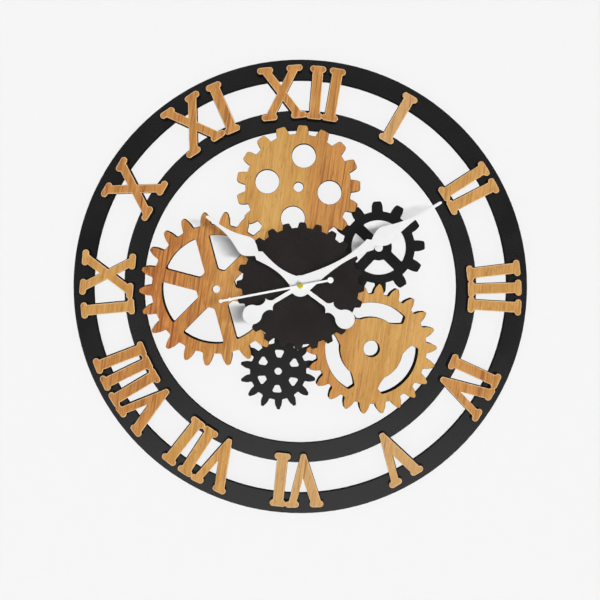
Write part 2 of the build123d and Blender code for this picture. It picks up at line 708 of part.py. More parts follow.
def right_gear_outline(shift=0.0, lift=0.0):
    """Lower right gear's outline, moved by a shift and a lift, with room for the movement's case."""
    root_r = RIGHT_TIP_R - RIGHT_TOOTH_H
    outline = gear_outline(
        RIGHT_TEETH, RIGHT_TIP_R, root_r, RIGHT_TOOTH_BASE_W, RIGHT_TOOTH_TIP_W, RIGHT_FIRST_TOOTH,
        RIGHT_TOOTH_CROWN, RIGHT_TOOTH_BULGE,
    )
    angles = [RIGHT_FIRST_SLOT + k * 360 / RIGHT_SLOTS for k in range(RIGHT_SLOTS)]
    slots = [crescent_slot(angle, root_r - RIGHT_RIM_W) for angle in angles]
    outline = rounded(outline, RIGHT_TIP_R - RIGHT_TOOTH_H / 2, RIGHT_ROOT_CORNER_R)
    gear = outline - Circle(RIGHT_HUB_R) - slots
    return Pos(RIGHT_CENTRE.X + shift, RIGHT_CENTRE.Y + lift) * gear - movement_pocket()


def upper_right_gear_outline():
    root_r = UPPER_TIP_R - UPPER_TOOTH_H
    outline = gear_outline(
        UPPER_TEETH, UPPER_TIP_R, root_r, UPPER_TOOTH_BASE_W, UPPER_TOOTH_TIP_W, UPPER_FIRST_TOOTH,
        bulge=UPPER_TOOTH_BULGE,
    )
    outline = rounded(outline, UPPER_TIP_R - UPPER_TOOTH_H / 2, UPPER_ROOT_CORNER_R, UPPER_TIP_CORNER_R)
    windows = spoked_windows(
        UPPER_SPOKES, UPPER_FIRST_SPOKE, UPPER_SPOKE_W, UPPER_WINDOW_IN_R, UPPER_WINDOW_OUT_R,
        UPPER_WINDOW_IN_CORNER_R, UPPER_WINDOW_OUT_CORNER_R,
    )
    return Pos(*UPPER_CENTRE) * (outline - Circle(UPPER_HUB_R) - windows)


def lower_gear_outline():
    root_r = LOWER_TIP_R - LOWER_TOOTH_H
    outline = gear_outline(
        LOWER_TEETH, LOWER_TIP_R, root_r, LOWER_TOOTH_BASE_W, LOWER_TOOTH_TIP_W, LOWER_FIRST_TOOTH,
        LOWER_TOOTH_CROWN, LOWER_TOOTH_BULGE,
    )
    outline = rounded(outline, LOWER_TIP_R - LOWER_TOOTH_H / 2, LOWER_ROOT_CORNER_R)
    corners = [
        (LOWER_HOLE_IN_R, LOWER_HOLE_IN_W / 2),
        (LOWER_HOLE_IN_R, -LOWER_HOLE_IN_W / 2),
        (LOWER_HOLE_OUT_R, -LOWER_HOLE_OUT_W / 2),
        (LOWER_HOLE_OUT_R, LOWER_HOLE_OUT_W / 2),
    ]
    hole = make_face(Polyline(*corners, close=True))
    hole = fillet(hole.vertices(), LOWER_HOLE_CORNER_R)
    holes = [Rot(0, 0, LOWER_FIRST_HOLE + k * 360 / LOWER_HOLES) * hole for k in range(LOWER_HOLES)]
    return Pos(*LOWER_CENTRE) * (outline - Circle(LOWER_HUB_R) - holes)


def centre_plate():
    root_r = PLATE_TIP_R - PLATE_TOOTH_H
    outline = gear_outline(
        PLATE_TEETH, PLATE_TIP_R, root_r, PLATE_TOOTH_BASE_W, PLATE_TOOTH_TIP_W, PLATE_FIRST_TOOTH
    )
    outline = rounded(outline, PLATE_TIP_R - PLATE_TOOTH_H / 2, PLATE_ROOT_CORNER_R, PLATE_TIP_CORNER_R)
    return slab(outline - Circle(BUSH_R + BUSH_HOLE_GAP), PLATE_DEPTH, FRONT_DEPTH)


def top_gear_spacer():
    """Block between the top gear's rim, at its lowest, and the back of the centre plate."""
    base = TOP_CENTRE.Y - TOP_TIP_R + TOP_TOOTH_H + SPACER_INSET
    block = Pos(TOP_CENTRE.X, base + SPACER_H / 2) * Rectangle(SPACER_W, SPACER_H)
    return slab(block, FACE_DEPTH, PLATE_DEPTH)


# Hands

def blade(runs, round_tip):
    """Blade pointing up, from runs of half widths that are lines, or curves where they have more points."""
    edges = []
    for side in (1, -1):
        for run in runs:
            points = [(side * half, along) for along, half in run]
            edges.append(Line(*points) if len(points) == 2 else Spline(*points))
    base, base_half = runs[0][0]
    tip, tip_half = runs[-1][-1]
    edges.append(Line((-base_half, base), (base_half, base)))
    if round_tip:
        edges.append(ThreePointArc((tip_half, tip), (0, tip + tip_half), (-tip_half, tip)))
    else:
        edges.append(Line((tip_half, tip), (-tip_half, tip)))
    return make_face(edges)


def hand_outline(runs, clock):
    """Hand with a hub, a pointed blade and a tail that ends in a ball."""
    tail = Rot(0, 0, 180) * blade(TAIL_RUNS, round_tip=False)
    ball = Pos(0, -TAIL_BALL_AT) * Circle(TAIL_BALL_R)
    return on_clock(clock) * (blade(runs, round_tip=True) + [tail, ball, Circle(HAND_HUB_R)])


def tube_hand(runs, clock, depth, tube_r):
    """Flat hand with a collet that grips its tube."""
    hand = slab(hand_outline(runs, clock), depth, depth + HAND_T)
    hand += slab(Circle(tube_r + COLLET_WALL), depth + HAND_T, depth + HAND_T + COLLET_T)
    return hand - slab(Circle(tube_r), depth, depth + HAND_T + COLLET_T)


def hour_hand():
    return tube_hand(HOUR_RUNS, HOUR_CLOCK, HOUR_DEPTH, HOUR_TUBE_R)


def minute_hand():
    return tube_hand(MINUTE_RUNS, MINUTE_CLOCK, MINUTE_DEPTH, MINUTE_TUBE_R)


def second_hand():
    """Thin rod with two beads near its tip, a ball on its tail and a tube on the arbor."""
    length = SECOND_REACH + SECOND_TAIL
    rod = Pos(0, length / 2 - SECOND_TAIL) * Rectangle(2 * SECOND_ROD_HALF_W, length)
    tip = Pos(0, SECOND_REACH) * Circle(SECOND_BEAD_R)
    bead = Pos(0, SECOND_REACH - SECOND_BEAD_STEP) * Circle(SECOND_BEAD_R)
    ball = Pos(0, -SECOND_TAIL) * Circle(SECOND_TAIL_BALL_R)
    outline = rod + [tip, bead, ball, Circle(SECOND_BOSS_R)]
    hand = slab(on_clock(SECOND_CLOCK) * outline, SECOND_DEPTH, SECOND_DEPTH + HAND_T)
    hand += slab(Circle(ARBOR_R + COLLET_WALL), SECOND_DEPTH - COLLET_T, SECOND_DEPTH)
    return hand - slab(Circle(ARBOR_R), SECOND_DEPTH - COLLET_T, SECOND_DEPTH + HAND_T)


def second_hand_cap():
    """Domed brass boss over the end of the second arbor."""
    back = SECOND_DEPTH + HAND_T
    boss = slab(Circle(SECOND_BOSS_R), back, back + SECOND_BOSS_T)
    rim = boss.edges().filter_by(GeomType.CIRCLE).sort_by(Axis.Y)[0]
    return fillet(rim, SECOND_BOSS_EDGE_R)


# Movement: moving pieces

def movement_wheel(centre, teeth, module, back, front, bearing, on_tooth):
    """Wheel or pinion with play between its teeth; a tooth, or a gap, lies on the bearing of its mate."""
    tip_r = wheel_tip_r(teeth, module)
    root_r = module * (teeth / 2 - TOOTH_BELOW)
    first = bearing if on_tooth else bearing + 180 / teeth
    outline = gear_outline(teeth, tip_r, root_r, TOOTH_BASE_W * module, TOOTH_TIP_W * module, first)
    return slab(Pos(*centre) * outline, back, front)


def arbor(centre, radius):
    """Plain arbor between the case's floor and the train bridge, with a pivot at each end."""
    steps = (
        (radius, BRIDGE_FRONT + END_PLAY, CASE_FLOOR - END_PLAY),
        (PIVOT_R, BRIDGE_BACK, BRIDGE_FRONT + END_PLAY),
        (PIVOT_R, CASE_FLOOR - END_PLAY, CASE_FLOOR + PIVOT_L),
    )
    return turned(centre, *steps)


def pinion_layer(wheel_layer):
    """A pinion is a little longer than the wheel that it meets."""
    back, front = wheel_layer
    return back - END_PLAY / 2, front + END_PLAY / 2


def hour_wheel():
    """Hour wheel with the tube that carries the hour hand."""
    back, front = HOUR_LAYER
    wheel = movement_wheel(HAND_AXIS, HOUR_TEETH, MOTION_MODULE, back, front, SETTING_BEARING, True)
    wheel += slab(Circle(HOUR_TUBE_R), back, HOUR_DEPTH + HAND_T + COLLET_T)
    return wheel - slab(Circle(MINUTE_TUBE_R + RUN_GAP), back, HOUR_DEPTH + HAND_T + COLLET_T)


def minute_arbor():
    """Minute tube with its cannon pinion, and behind it the seat of the slipping centre wheel."""
    back, front = pinion_layer(MINUTE_LAYER)
    seat_back = CENTRE_LAYER[0]
    tip = MINUTE_DEPTH + HAND_T + COLLET_T
    cannon = movement_wheel(HAND_AXIS, CANNON_TEETH, CANNON_MODULE, back, front, SETTING_BEARING, False)
    tube = turned(HAND_AXIS, (MINUTE_TUBE_R, back, tip), (CLUTCH_R, seat_back, back))
    return cannon + tube - slab(Circle(ARBOR_R + RUN_GAP), seat_back, tip)


def minute_wheel():
    """Minute wheel, its pinion for the hour wheel and the setting arbor that reaches out of the back."""
    back, front = MINUTE_LAYER
    mate = SETTING_BEARING + 180
    wheel = movement_wheel(SETTING_AXIS, MINUTE_WHEEL_TEETH, CANNON_MODULE, back, front, mate, True)
    pinion = movement_wheel(
        SETTING_AXIS, MINUTE_PINION_TEETH, MOTION_MODULE, front, CASE_FLOOR - END_PLAY / 2, mate, False
    )
    shaft = turned(
        SETTING_AXIS,
        (SETTING_ARBOR_R, CASE_BACK - END_PLAY - KNOB_T, back),
        (PIVOT_R, CASE_FLOOR - END_PLAY / 2, CASE_FLOOR + PIVOT_L),
    )
    return wheel + pinion + shaft


def setting_knob():
    """Notched knob on the end of the setting arbor."""
    front = CASE_BACK - END_PLAY
    grip = gear_outline(
        KNOB_RIDGES, KNOB_R, KNOB_R - KNOB_RIDGE_H, KNOB_RIDGE_BASE_W, KNOB_RIDGE_TIP_W, SETTING_BEARING
    )
    return slab(Pos(*SETTING_AXIS) * (grip - Circle(SETTING_ARBOR_R)), front - KNOB_T, front)


def centre_wheel():
    """Wheel that drives the minute arbor through a slipping seat."""
    back, front = CENTRE_LAYER
    wheel = movement_wheel(HAND_AXIS, CENTRE_TEETH, CENTRE_MODULE, back, front, THIRD_BEARING, True)
    return wheel - slab(Circle(CLUTCH_R + RUN_GAP), back, front)


def third_wheel():
    mate = THIRD_BEARING + 180
    wheel = movement_wheel(THIRD_AXIS, THIRD_TEETH, THIRD_MODULE, *THIRD_LAYER, mate, True)
    pinion = movement_wheel(
        THIRD_AXIS, THIRD_PINION_TEETH, CENTRE_MODULE, *pinion_layer(CENTRE_LAYER), mate, False
    )
    return wheel + pinion + arbor(THIRD_AXIS, ARBOR_R)


def second_wheel():
    """Second wheel, its pinion, and the thin arbor that runs through the minute tube to the second hand."""
    wheel = movement_wheel(
        HAND_AXIS, SECOND_TEETH, SECOND_MODULE, *SECOND_LAYER, INTERMEDIATE_BEARING, True
    )
    pinion = movement_wheel(
        HAND_AXIS, SECOND_PINION_TEETH, THIRD_MODULE, *pinion_layer(THIRD_LAYER), THIRD_BEARING, False
    )
    shaft = turned(
        HAND_AXIS,
        (ARBOR_R, BRIDGE_FRONT + END_PLAY, SECOND_DEPTH + HAND_T),
        (PIVOT_R, BRIDGE_BACK, BRIDGE_FRONT + END_PLAY),
    )
    return wheel + pinion + shaft


def intermediate_wheel():
    wheel = movement_wheel(
        INTERMEDIATE_AXIS, INTERMEDIATE_TEETH, ROTOR_MODULE, *INTERMEDIATE_LAYER, ROTOR_BEARING, True
    )
    pinion = movement_wheel(
        INTERMEDIATE_AXIS, INTERMEDIATE_PINION_TEETH, SECOND_MODULE, *pinion_layer(SECOND_LAYER),
        INTERMEDIATE_BEARING + 180, False
    )
    return wheel + pinion + arbor(INTERMEDIATE_AXIS, ARBOR_R)


STATOR_FRONT = CASE_FLOOR - STATOR_SEAT
STATOR_BACK = STATOR_FRONT - STATOR_T
CORE_BACK = STATOR_BACK - STATOR_T
STATOR_MIDDLE = (STATOR_FRONT + STATOR_BACK) / 2
COIL_DEPTH = (CORE_BACK + STATOR_BACK) / 2


def rotor():
    """Rotor magnet on a pinion arbor."""
    pinion = movement_wheel(
        ROTOR_AXIS, ROTOR_TEETH, ROTOR_MODULE, *pinion_layer(INTERMEDIATE_LAYER), ROTOR_BEARING + 180, False
    )
    magnet = turned(ROTOR_AXIS, (MAGNET_R, STATOR_MIDDLE - MAGNET_T / 2, STATOR_MIDDLE + MAGNET_T / 2))
    return pinion + magnet + arbor(ROTOR_AXIS, ARBOR_R)


def stator_leg_places():
    reach = STATOR_SPAN / 2 - STATOR_LEG_W / 2
    return [ROTOR_AXIS.X - reach, ROTOR_AXIS.X + reach]


def stator():
    """U-shaped plate: a yoke around the rotor and two legs up to the coil's core."""
    yoke = Pos(*ROTOR_AXIS) * Rectangle(STATOR_SPAN, STATOR_YOKE_H)
    top = COIL_HEIGHT + CORE_W / 2
    rise = top - ROTOR_AXIS.Y
    legs = [Pos(x, top - rise / 2) * Rectangle(STATOR_LEG_W, rise) for x in stator_leg_places()]
    bore = Pos(*ROTOR_AXIS) * Circle(MAGNET_R + MAGNET_GAP)
    return slab(yoke + legs - bore, STATOR_BACK, STATOR_FRONT)


def coil_core():
    """Flat core across the ends of the stator's legs."""
    bar = Pos(ROTOR_AXIS.X, COIL_HEIGHT) * Rectangle(STATOR_SPAN, CORE_W)
    return slab(bar, CORE_BACK, STATOR_BACK)


def coil():
    """Winding between two flanges, on the core between the stator's legs."""
    start = ROTOR_AXIS.X - STATOR_SPAN / 2 + STATOR_LEG_W + BAY_GAP
    end = ROTOR_AXIS.X + STATOR_SPAN / 2 - STATOR_LEG_W - BAY_GAP
    spool = bar_x(COIL_R, start, end, COIL_DEPTH, COIL_HEIGHT)
    spool += bar_x(COIL_FLANGE_R, start, start + COIL_FLANGE_T, COIL_DEPTH, COIL_HEIGHT)
    spool += bar_x(COIL_FLANGE_R, end - COIL_FLANGE_T, end, COIL_DEPTH, COIL_HEIGHT)
    core = Pos(ROTOR_AXIS.X, COIL_HEIGHT) * Rectangle(STATOR_SPAN, CORE_W)
    return spool - slab(core, CORE_BACK, STATOR_BACK)


# Movement: case and fixed pieces

def case_rectangle():
    middle = Pos(0, (CASE_TOP + CASE_BASE) / 2)
    return middle * RectangleRounded(CASE_W, CASE_TOP - CASE_BASE, CASE_CORNER_R)


def band_outline(low, high, half_w):
    """Upright rectangle between two heights."""
    return Pos(0, (low + high) / 2) * Rectangle(2 * half_w, high - low)


def pillar_places():
    reach = INSIDE_HALF_W - PILLAR_INSET
    heights = (TRAIN_BASE + PILLAR_INSET, CASE_TOP - CASE_WALL - PILLAR_INSET)
    return [Pos(side * reach, height) for side in (-1, 1) for height in heights]


def circuit_place():
    """Middle of the circuit board, between the left upper pillar and the third wheel's arbor."""
    left = PILLAR_INSET + PILLAR_R + BAY_GAP - INSIDE_HALF_W
    return Pos(left + CIRCUIT_W / 2, CASE_TOP - CASE_WALL - BAY_GAP - CIRCUIT_H / 2)


def movement_front_case():
    """Case open at the back: a train bay over a cell bay, with posts, seats and pivot holes."""
    case = slab(case_rectangle(), CASE_BACK, CASE_FRONT)
    train = band_outline(TRAIN_BASE, CASE_TOP - CASE_WALL, INSIDE_HALF_W)
    cell = band_outline(CASE_BASE + CASE_WALL, BAY_TOP, INSIDE_HALF_W)
    case -= slab(train, CASE_BACK, CASE_FLOOR)
    case -= slab(cell, CASE_BACK, CASE_FLOOR)
    case -= slab(band_outline(BAY_TOP, CASE_TOP, CASE_W / 2), CASE_BACK, COVER_FRONT)
    for place in pillar_places():
        case += slab(place * Circle(PILLAR_R), BRIDGE_FRONT, CASE_FLOOR)
    for x in stator_leg_places():
        post = Pos(x, COIL_HEIGHT - CORE_W) * Circle(STATOR_LEG_W / 2)
        case += slab(post, STATOR_FRONT, CASE_FLOOR)
    seat = circuit_place() * Rectangle(CIRCUIT_W, BOARD_SEAT_H)
    case += slab(seat, CASE_FLOOR - BOARD_SEAT, CASE_FLOOR)
    case -= slab(Circle(BUSH_R), CASE_FLOOR, CASE_FRONT)
    for axis in (SETTING_AXIS, THIRD_AXIS, INTERMEDIATE_AXIS, ROTOR_AXIS):
        case -= slab(Pos(*axis) * Circle(PIVOT_R + RUN_GAP), CASE_FLOOR, CASE_FLOOR + PIVOT_L + RUN_GAP)
    return case


def train_bridge():
    """Plate behind the train with the rear pivot holes."""
    plate = band_outline(TRAIN_BASE + BAY_GAP, CASE_TOP - CASE_WALL - BAY_GAP, INSIDE_HALF_W - BAY_GAP)
    axes = (HAND_AXIS, THIRD_AXIS, INTERMEDIATE_AXIS, ROTOR_AXIS)
    pivots = [Pos(*axis) * Circle(PIVOT_R + RUN_GAP) for axis in axes]
    passage = Pos(*SETTING_AXIS) * Circle(SETTING_ARBOR_R + RUN_GAP)
    return slab(plate - pivots - passage, BRIDGE_BACK, BRIDGE_FRONT)


def movement_back_cover():
    """Lid over the train bay, with studs that press the bridge onto its pillars."""
    lid = slab(case_rectangle(), CASE_BACK, COVER_FRONT)
    lid -= slab(band_outline(CASE_BASE, BAY_TOP, CASE_W / 2), CASE_BACK, COVER_FRONT)
    for place in pillar_places():
        lid += slab(place * Circle(PILLAR_R), COVER_FRONT, BRIDGE_BACK)
    passage = Pos(*SETTING_AXIS) * Circle(SETTING_ARBOR_R + RUN_GAP)
    return lid - slab(passage, CASE_BACK, COVER_FRONT)


def threaded_bushing():
    tube = Circle(BUSH_R) - Circle(HOUR_TUBE_R + RUN_GAP)
    return slab(tube, CASE_FLOOR, BUSH_FRONT)


def rubber_washer():
    return slab(Circle(RUBBER_R) - Circle(BUSH_R), CASE_FRONT, PLATE_DEPTH)


def brass_washer():
    return slab(Circle(WASHER_R) - Circle(BUSH_R), FRONT_DEPTH, FRONT_DEPTH + WASHER_T)


def bushing_nut():
    hexagon = RegularPolygon(NUT_FLATS / 2, 6, major_radius=False)
    return slab(hexagon - Circle(BUSH_R), FRONT_DEPTH + WASHER_T, NUT_FRONT)


def circuit_board():
    front = CASE_FLOOR - BOARD_SEAT
    return slab(circuit_place() * Rectangle(CIRCUIT_W, CIRCUIT_H), front - CIRCUIT_T, front)


def quartz_crystal():
    """Small round can lying on the circuit board."""
    place = circuit_place().position
    depth = CASE_FLOOR - BOARD_SEAT - CIRCUIT_T - CRYSTAL_R
    return bar_x(CRYSTAL_R, place.X - CRYSTAL_L / 2, place.X + CRYSTAL_L / 2, depth, place.Y)


def battery():
    """AA cell with its positive nub to the right."""
    start = -(CELL_L + CELL_NUB_L) / 2
    can = bar_x(CELL_R, start, start + CELL_L, CELL_DEPTH, CELL_HEIGHT)
    return can + bar_x(CELL_NUB_R, start + CELL_L, start + CELL_L + CELL_NUB_L, CELL_DEPTH, CELL_HEIGHT)


def battery_contact(side):
    """Strip on the end wall of the cell bay, bowed towards the cell."""
    wall = INSIDE_HALF_W
    touch = wall - CONTACT_BOW
    half = CONTACT_W / 2
    root = wall - CONTACT_T
    bow = make_face([
        ThreePointArc((root, -half), (touch, 0), (root, half)),
        Line((root, half), (wall, half)),
        Line((wall, half), (wall, -half)),
        Line((wall, -half), (root, -half)),
    ])
    strip = Pos(0, CELL_HEIGHT) * (bow if side > 0 else Rot(0, 180, 0) * bow)
    return slab(strip, CELL_DEPTH - half, CELL_DEPTH + half)


def build():
    """Every piece by its node name."""
    top_gear = slab(top_gear_outline(), MIDDLE_DEPTH, FACE_DEPTH)
    left_backing = slab(left_gear_outline(LEFT_BACKING_LIFT), MIDDLE_DEPTH, FACE_DEPTH)
    right_backing = right_gear_outline(RIGHT_BACKING_SHIFT, RIGHT_BACKING_LIFT)
    pieces = {
        "outer_ring": outer_ring(),
        "inner_ring": inner_ring(),
        "hanger_plate": hanger_plate(),
        "hanger_screws": hanger_screws(),
        "wall_pads": wall_pads(),
        "top_gear": top_gear,
        "left_gear": slab(left_gear_outline(), FACE_DEPTH, PLATE_DEPTH),
        "left_gear_backing": left_backing - top_gear,
        "lower_right_gear": slab(right_gear_outline(), FACE_DEPTH, PLATE_DEPTH),
        "lower_right_gear_backing": slab(right_backing, MIDDLE_DEPTH, FACE_DEPTH),
        "upper_right_gear": slab(upper_right_gear_outline(), RING_DEPTH, MIDDLE_DEPTH),
        "lower_gear": slab(lower_gear_outline(), RING_DEPTH, MIDDLE_DEPTH),
        "centre_plate": centre_plate(),
        "top_gear_spacer": top_gear_spacer(),
        "hour_hand": hour_hand(),
        "minute_hand": minute_hand(),
        "second_hand": second_hand(),
        "second_hand_cap": second_hand_cap(),
        "movement_front_case": movement_front_case(),
        "movement_back_cover": movement_back_cover(),
        "train_bridge": train_bridge(),
        "threaded_bushing": threaded_bushing(),
        "rubber_washer": rubber_washer(),
        "brass_washer": brass_washer(),
        "bushing_nut": bushing_nut(),
        "hour_wheel": hour_wheel(),
        "minute_arbor": minute_arbor(),
        "minute_wheel": minute_wheel(),
        "setting_knob": setting_knob(),
        "centre_wheel": centre_wheel(),
        "third_wheel": third_wheel(),
        "second_wheel": second_wheel(),
        "intermediate_wheel": intermediate_wheel(),
        "rotor": rotor(),
        "stator": stator(),
        "coil_core": coil_core(),
        "coil": coil(),
        "circuit_board": circuit_board(),
        "quartz_crystal": quartz_crystal(),
        "battery": battery(),
        "battery_contact_positive": battery_contact(1),
        "battery_contact_negative": battery_contact(-1),
    }
    for hour, layout in enumerate(NUMERALS, start=1):
        pieces[f"numeral_{hour:02d}"] = numeral(hour, *layout)
    return pieces


os.makedirs("parts", exist_ok=True)
for name, piece in build().items():
    export_step(piece, f"parts/{name}.step")
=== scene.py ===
import json
from math import cos, pi, radians, sin

import bmesh
import bpy
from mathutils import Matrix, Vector
from mathutils.geometry import delaunay_2d_cdt

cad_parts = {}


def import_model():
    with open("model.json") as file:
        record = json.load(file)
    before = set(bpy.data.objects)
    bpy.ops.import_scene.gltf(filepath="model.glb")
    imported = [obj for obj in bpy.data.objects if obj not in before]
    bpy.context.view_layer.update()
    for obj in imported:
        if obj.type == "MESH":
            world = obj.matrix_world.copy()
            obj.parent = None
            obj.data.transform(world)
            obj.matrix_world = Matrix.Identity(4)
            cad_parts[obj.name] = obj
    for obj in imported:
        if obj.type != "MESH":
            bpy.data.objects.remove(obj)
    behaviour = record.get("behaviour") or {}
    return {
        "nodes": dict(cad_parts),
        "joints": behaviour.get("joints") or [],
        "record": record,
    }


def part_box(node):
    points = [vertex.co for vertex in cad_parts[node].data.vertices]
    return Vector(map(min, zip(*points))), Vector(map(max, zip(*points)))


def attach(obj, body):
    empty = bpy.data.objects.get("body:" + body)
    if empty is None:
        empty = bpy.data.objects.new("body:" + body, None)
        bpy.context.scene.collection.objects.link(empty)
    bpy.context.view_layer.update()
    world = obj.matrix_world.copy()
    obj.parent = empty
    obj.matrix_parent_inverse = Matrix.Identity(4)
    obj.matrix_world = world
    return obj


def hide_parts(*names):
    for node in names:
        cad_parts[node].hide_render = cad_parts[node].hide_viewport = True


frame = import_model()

# Wooden gear wall clock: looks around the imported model, in metres, front facing -Y.

SCENE = bpy.context.scene
NODES = frame["nodes"]
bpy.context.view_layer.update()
BODY_OF = {
    node: body
    for body, members in frame["record"]["behaviour"]["bodies"].items()
    for node in members
}
JOINTS = {joint["name"]: joint for joint in frame["joints"]}
HAND_AXIS = Vector(JOINTS["minute_turn"]["pos_m"])
MM = 0.001
WHITE = (1.0, 1.0, 1.0, 1.0)


# Shader building

# Colour sockets of a Mix node
MIX_A = 6
MIX_B = 7
MIX_RESULT = 2
# Middle part of a noise's range, over which tones and roughness change
TONES_FROM = 0.35
TONES_TO = 0.65
ROUGH_FROM = 0.3
ROUGH_TO = 0.7
RAMP_MIDDLE = 0.5


def set_stops(ramp_node, stops):
    """Give a colour ramp its stops, each a place and a colour."""
    elements = ramp_node.color_ramp.elements
    while len(elements) < len(stops):
        elements.new(RAMP_MIDDLE)
    for element, (place, colour) in zip(elements, stops):
        element.position = place
        element.color = (*colour, 1.0)


class Shader:
    """Node tree of one material, built by short calls that return sockets."""

    def __init__(self, name):
        self.material = bpy.data.materials.new(name)
        self.material.use_nodes = True
        self.tree = self.material.node_tree
        self.surface = self.tree.nodes["Principled BSDF"]
        self.output = self.tree.nodes["Material Output"]

    def node(self, kind, **settings):
        made = self.tree.nodes.new("ShaderNode" + kind)
        for key, value in settings.items():
            setattr(made, key, value)
        return made

    def feed(self, socket, value):
        """Link a socket, or set it where the value is a number or a colour."""
        if isinstance(value, bpy.types.NodeSocket):
            self.tree.links.new(value, socket)
        else:
            socket.default_value = value

    def place(self, size, turn=(0, 0, 0), start=(0, 0, 0)):
        """Object coordinates counted in cells of a given size in metres."""
        where = self.node("TexCoord").outputs["Object"]
        mapping = self.node("Mapping", vector_type="TEXTURE")
        self.feed(mapping.inputs["Vector"], where)
        mapping.inputs["Location"].default_value = start
        mapping.inputs["Rotation"].default_value = turn
        mapping.inputs["Scale"].default_value = size
        return mapping.outputs[0]

    def along_x(self):
        """Place along X in metres."""
        here = self.node("SeparateXYZ")
        self.feed(here.inputs[0], self.place((1, 1, 1)))
        return here.outputs["X"]

    def noise(self, where, detail, rough=0.5, twist=0.0):
        made = self.node("TexNoise")
        self.feed(made.inputs["Vector"], where)
        made.inputs["Scale"].default_value = 1.0
        made.inputs["Detail"].default_value = detail
        made.inputs["Roughness"].default_value = rough
        made.inputs["Distortion"].default_value = twist
        return made.outputs[0]

    def mottle(self, size, detail):
        """Noise with cells of one size every way."""
        return self.noise(self.place((size,) * 3), detail)

    def waves(self, where):
        """Plain waves along X."""
        made = self.node("TexWave", bands_direction="X")
        self.feed(made.inputs["Vector"], where)
        made.inputs["Scale"].default_value = 1.0
        made.inputs["Distortion"].default_value = 0.0
        made.inputs["Detail"].default_value = 0.0
        return made.outputs["Fac"]

    def cell_edges(self, where):
        """Distance from the edges between random cells."""
        made = self.node("TexVoronoi", feature="DISTANCE_TO_EDGE")
        self.feed(made.inputs["Vector"], where)
        made.inputs["Scale"].default_value = 1.0
        return made.outputs["Distance"]

    def sum(self, *shares):
        """Weighted sum of sockets, each given with its weight."""
        total = None
        for socket, weight in shares:
            made = self.node("Math", operation="MULTIPLY_ADD")
            self.feed(made.inputs[0], socket)
            made.inputs[1].default_value = weight
            self.feed(made.inputs[2], 0.0 if total is None else total)
            total = made.outputs[0]
        return total

    def pair(self, operation, a, b):
        """Math on two values."""
        made = self.node("Math", operation=operation)
        self.feed(made.inputs[0], a)
        self.feed(made.inputs[1], b)
        return made.outputs[0]

    def span(self, value, low, high, to_low=0.0, to_high=1.0):
        """Value from one range carried to another, held at its ends."""
        made = self.node("MapRange")
        self.feed(made.inputs["Value"], value)
        made.inputs["From Min"].default_value = low
        made.inputs["From Max"].default_value = high
        made.inputs["To Min"].default_value = to_low
        made.inputs["To Max"].default_value = to_high
        return made.outputs[0]

    def roughness(self, value, low, high):
        """Roughness between two levels, over the middle of a noise."""
        return self.span(value, ROUGH_FROM, ROUGH_TO, low, high)

    def ramp(self, value, *stops):
        """Colour ramp through stops of place and colour."""
        made = self.node("ValToRGB")
        self.feed(made.inputs[0], value)
        set_stops(made, stops)
        return made.outputs["Color"]

    def tones(self, value, low, high):
        """Colour between two tones, over the middle of a noise."""
        return self.ramp(value, (TONES_FROM, low), (TONES_TO, high))

    def mix(self, share, a, b):
        made = self.node("Mix", data_type="RGBA")
        self.feed(made.inputs[0], share)
        for socket, value in ((made.inputs[MIX_A], a), (made.inputs[MIX_B], b)):
            linked = isinstance(value, bpy.types.NodeSocket)
            self.feed(socket, value if linked else (*value, 1.0))
        return made.outputs[MIX_RESULT]

    def relief(self, height, strength, depth):
        bump = self.node("Bump")
        bump.inputs["Strength"].default_value = strength
        bump.inputs["Distance"].default_value = depth
        self.feed(bump.inputs["Height"], height)
        self.feed(self.surface.inputs["Normal"], bump.outputs[0])

    def finish(self, colour, rough, metal=0.0, specular=0.5):
        self.feed(self.surface.inputs["Base Color"], colour)
        self.feed(self.surface.inputs["Roughness"], rough)
        self.surface.inputs["Metallic"].default_value = metal
        self.surface.inputs["Specular IOR Level"].default_value = specular
        return self.material


# Wood, boards and cut edges

GRAIN_LEAN = radians(8.0)
WOOD_LIGHT = (0.725, 0.440, 0.142)
WOOD_MID = (0.535, 0.258, 0.063)
RED_LIGHT = (0.635, 0.266, 0.069)
RED_DARK = (0.400, 0.124, 0.029)
WOOD_LINE = (0.235, 0.072, 0.020)
WOOD_PALE = (0.640, 0.450, 0.250)
WOOD_SPECULAR = 0.35
# Size of each kind of figure across and along the grain
BANDS = (0.024, 0.300)
STREAKS = (0.0065, 0.120)
NARROW_LINES = (0.0028, 0.080)
PATCHES = (0.0090, 0.024)
FIBRES = (0.0017, 0.030)
DASHES = (0.0016, 0.010)
# Shares of the figures in the shade, and its middle
STREAK_SHARE = 0.28
FIBRE_SHARE = 0.30
BAND_SHARE = 0.42
SHADE_MIDDLE = 0.505
# Noise at which a line and a fleck begin and are full, and how much they show
LINE_BEGINS = 0.47
LINE_FULL = 0.37
LINE_BY_STREAK = 0.3
FLECK_BEGINS = 0.60
FLECK_FULL = 0.72
FLECK_SHARE = 0.35


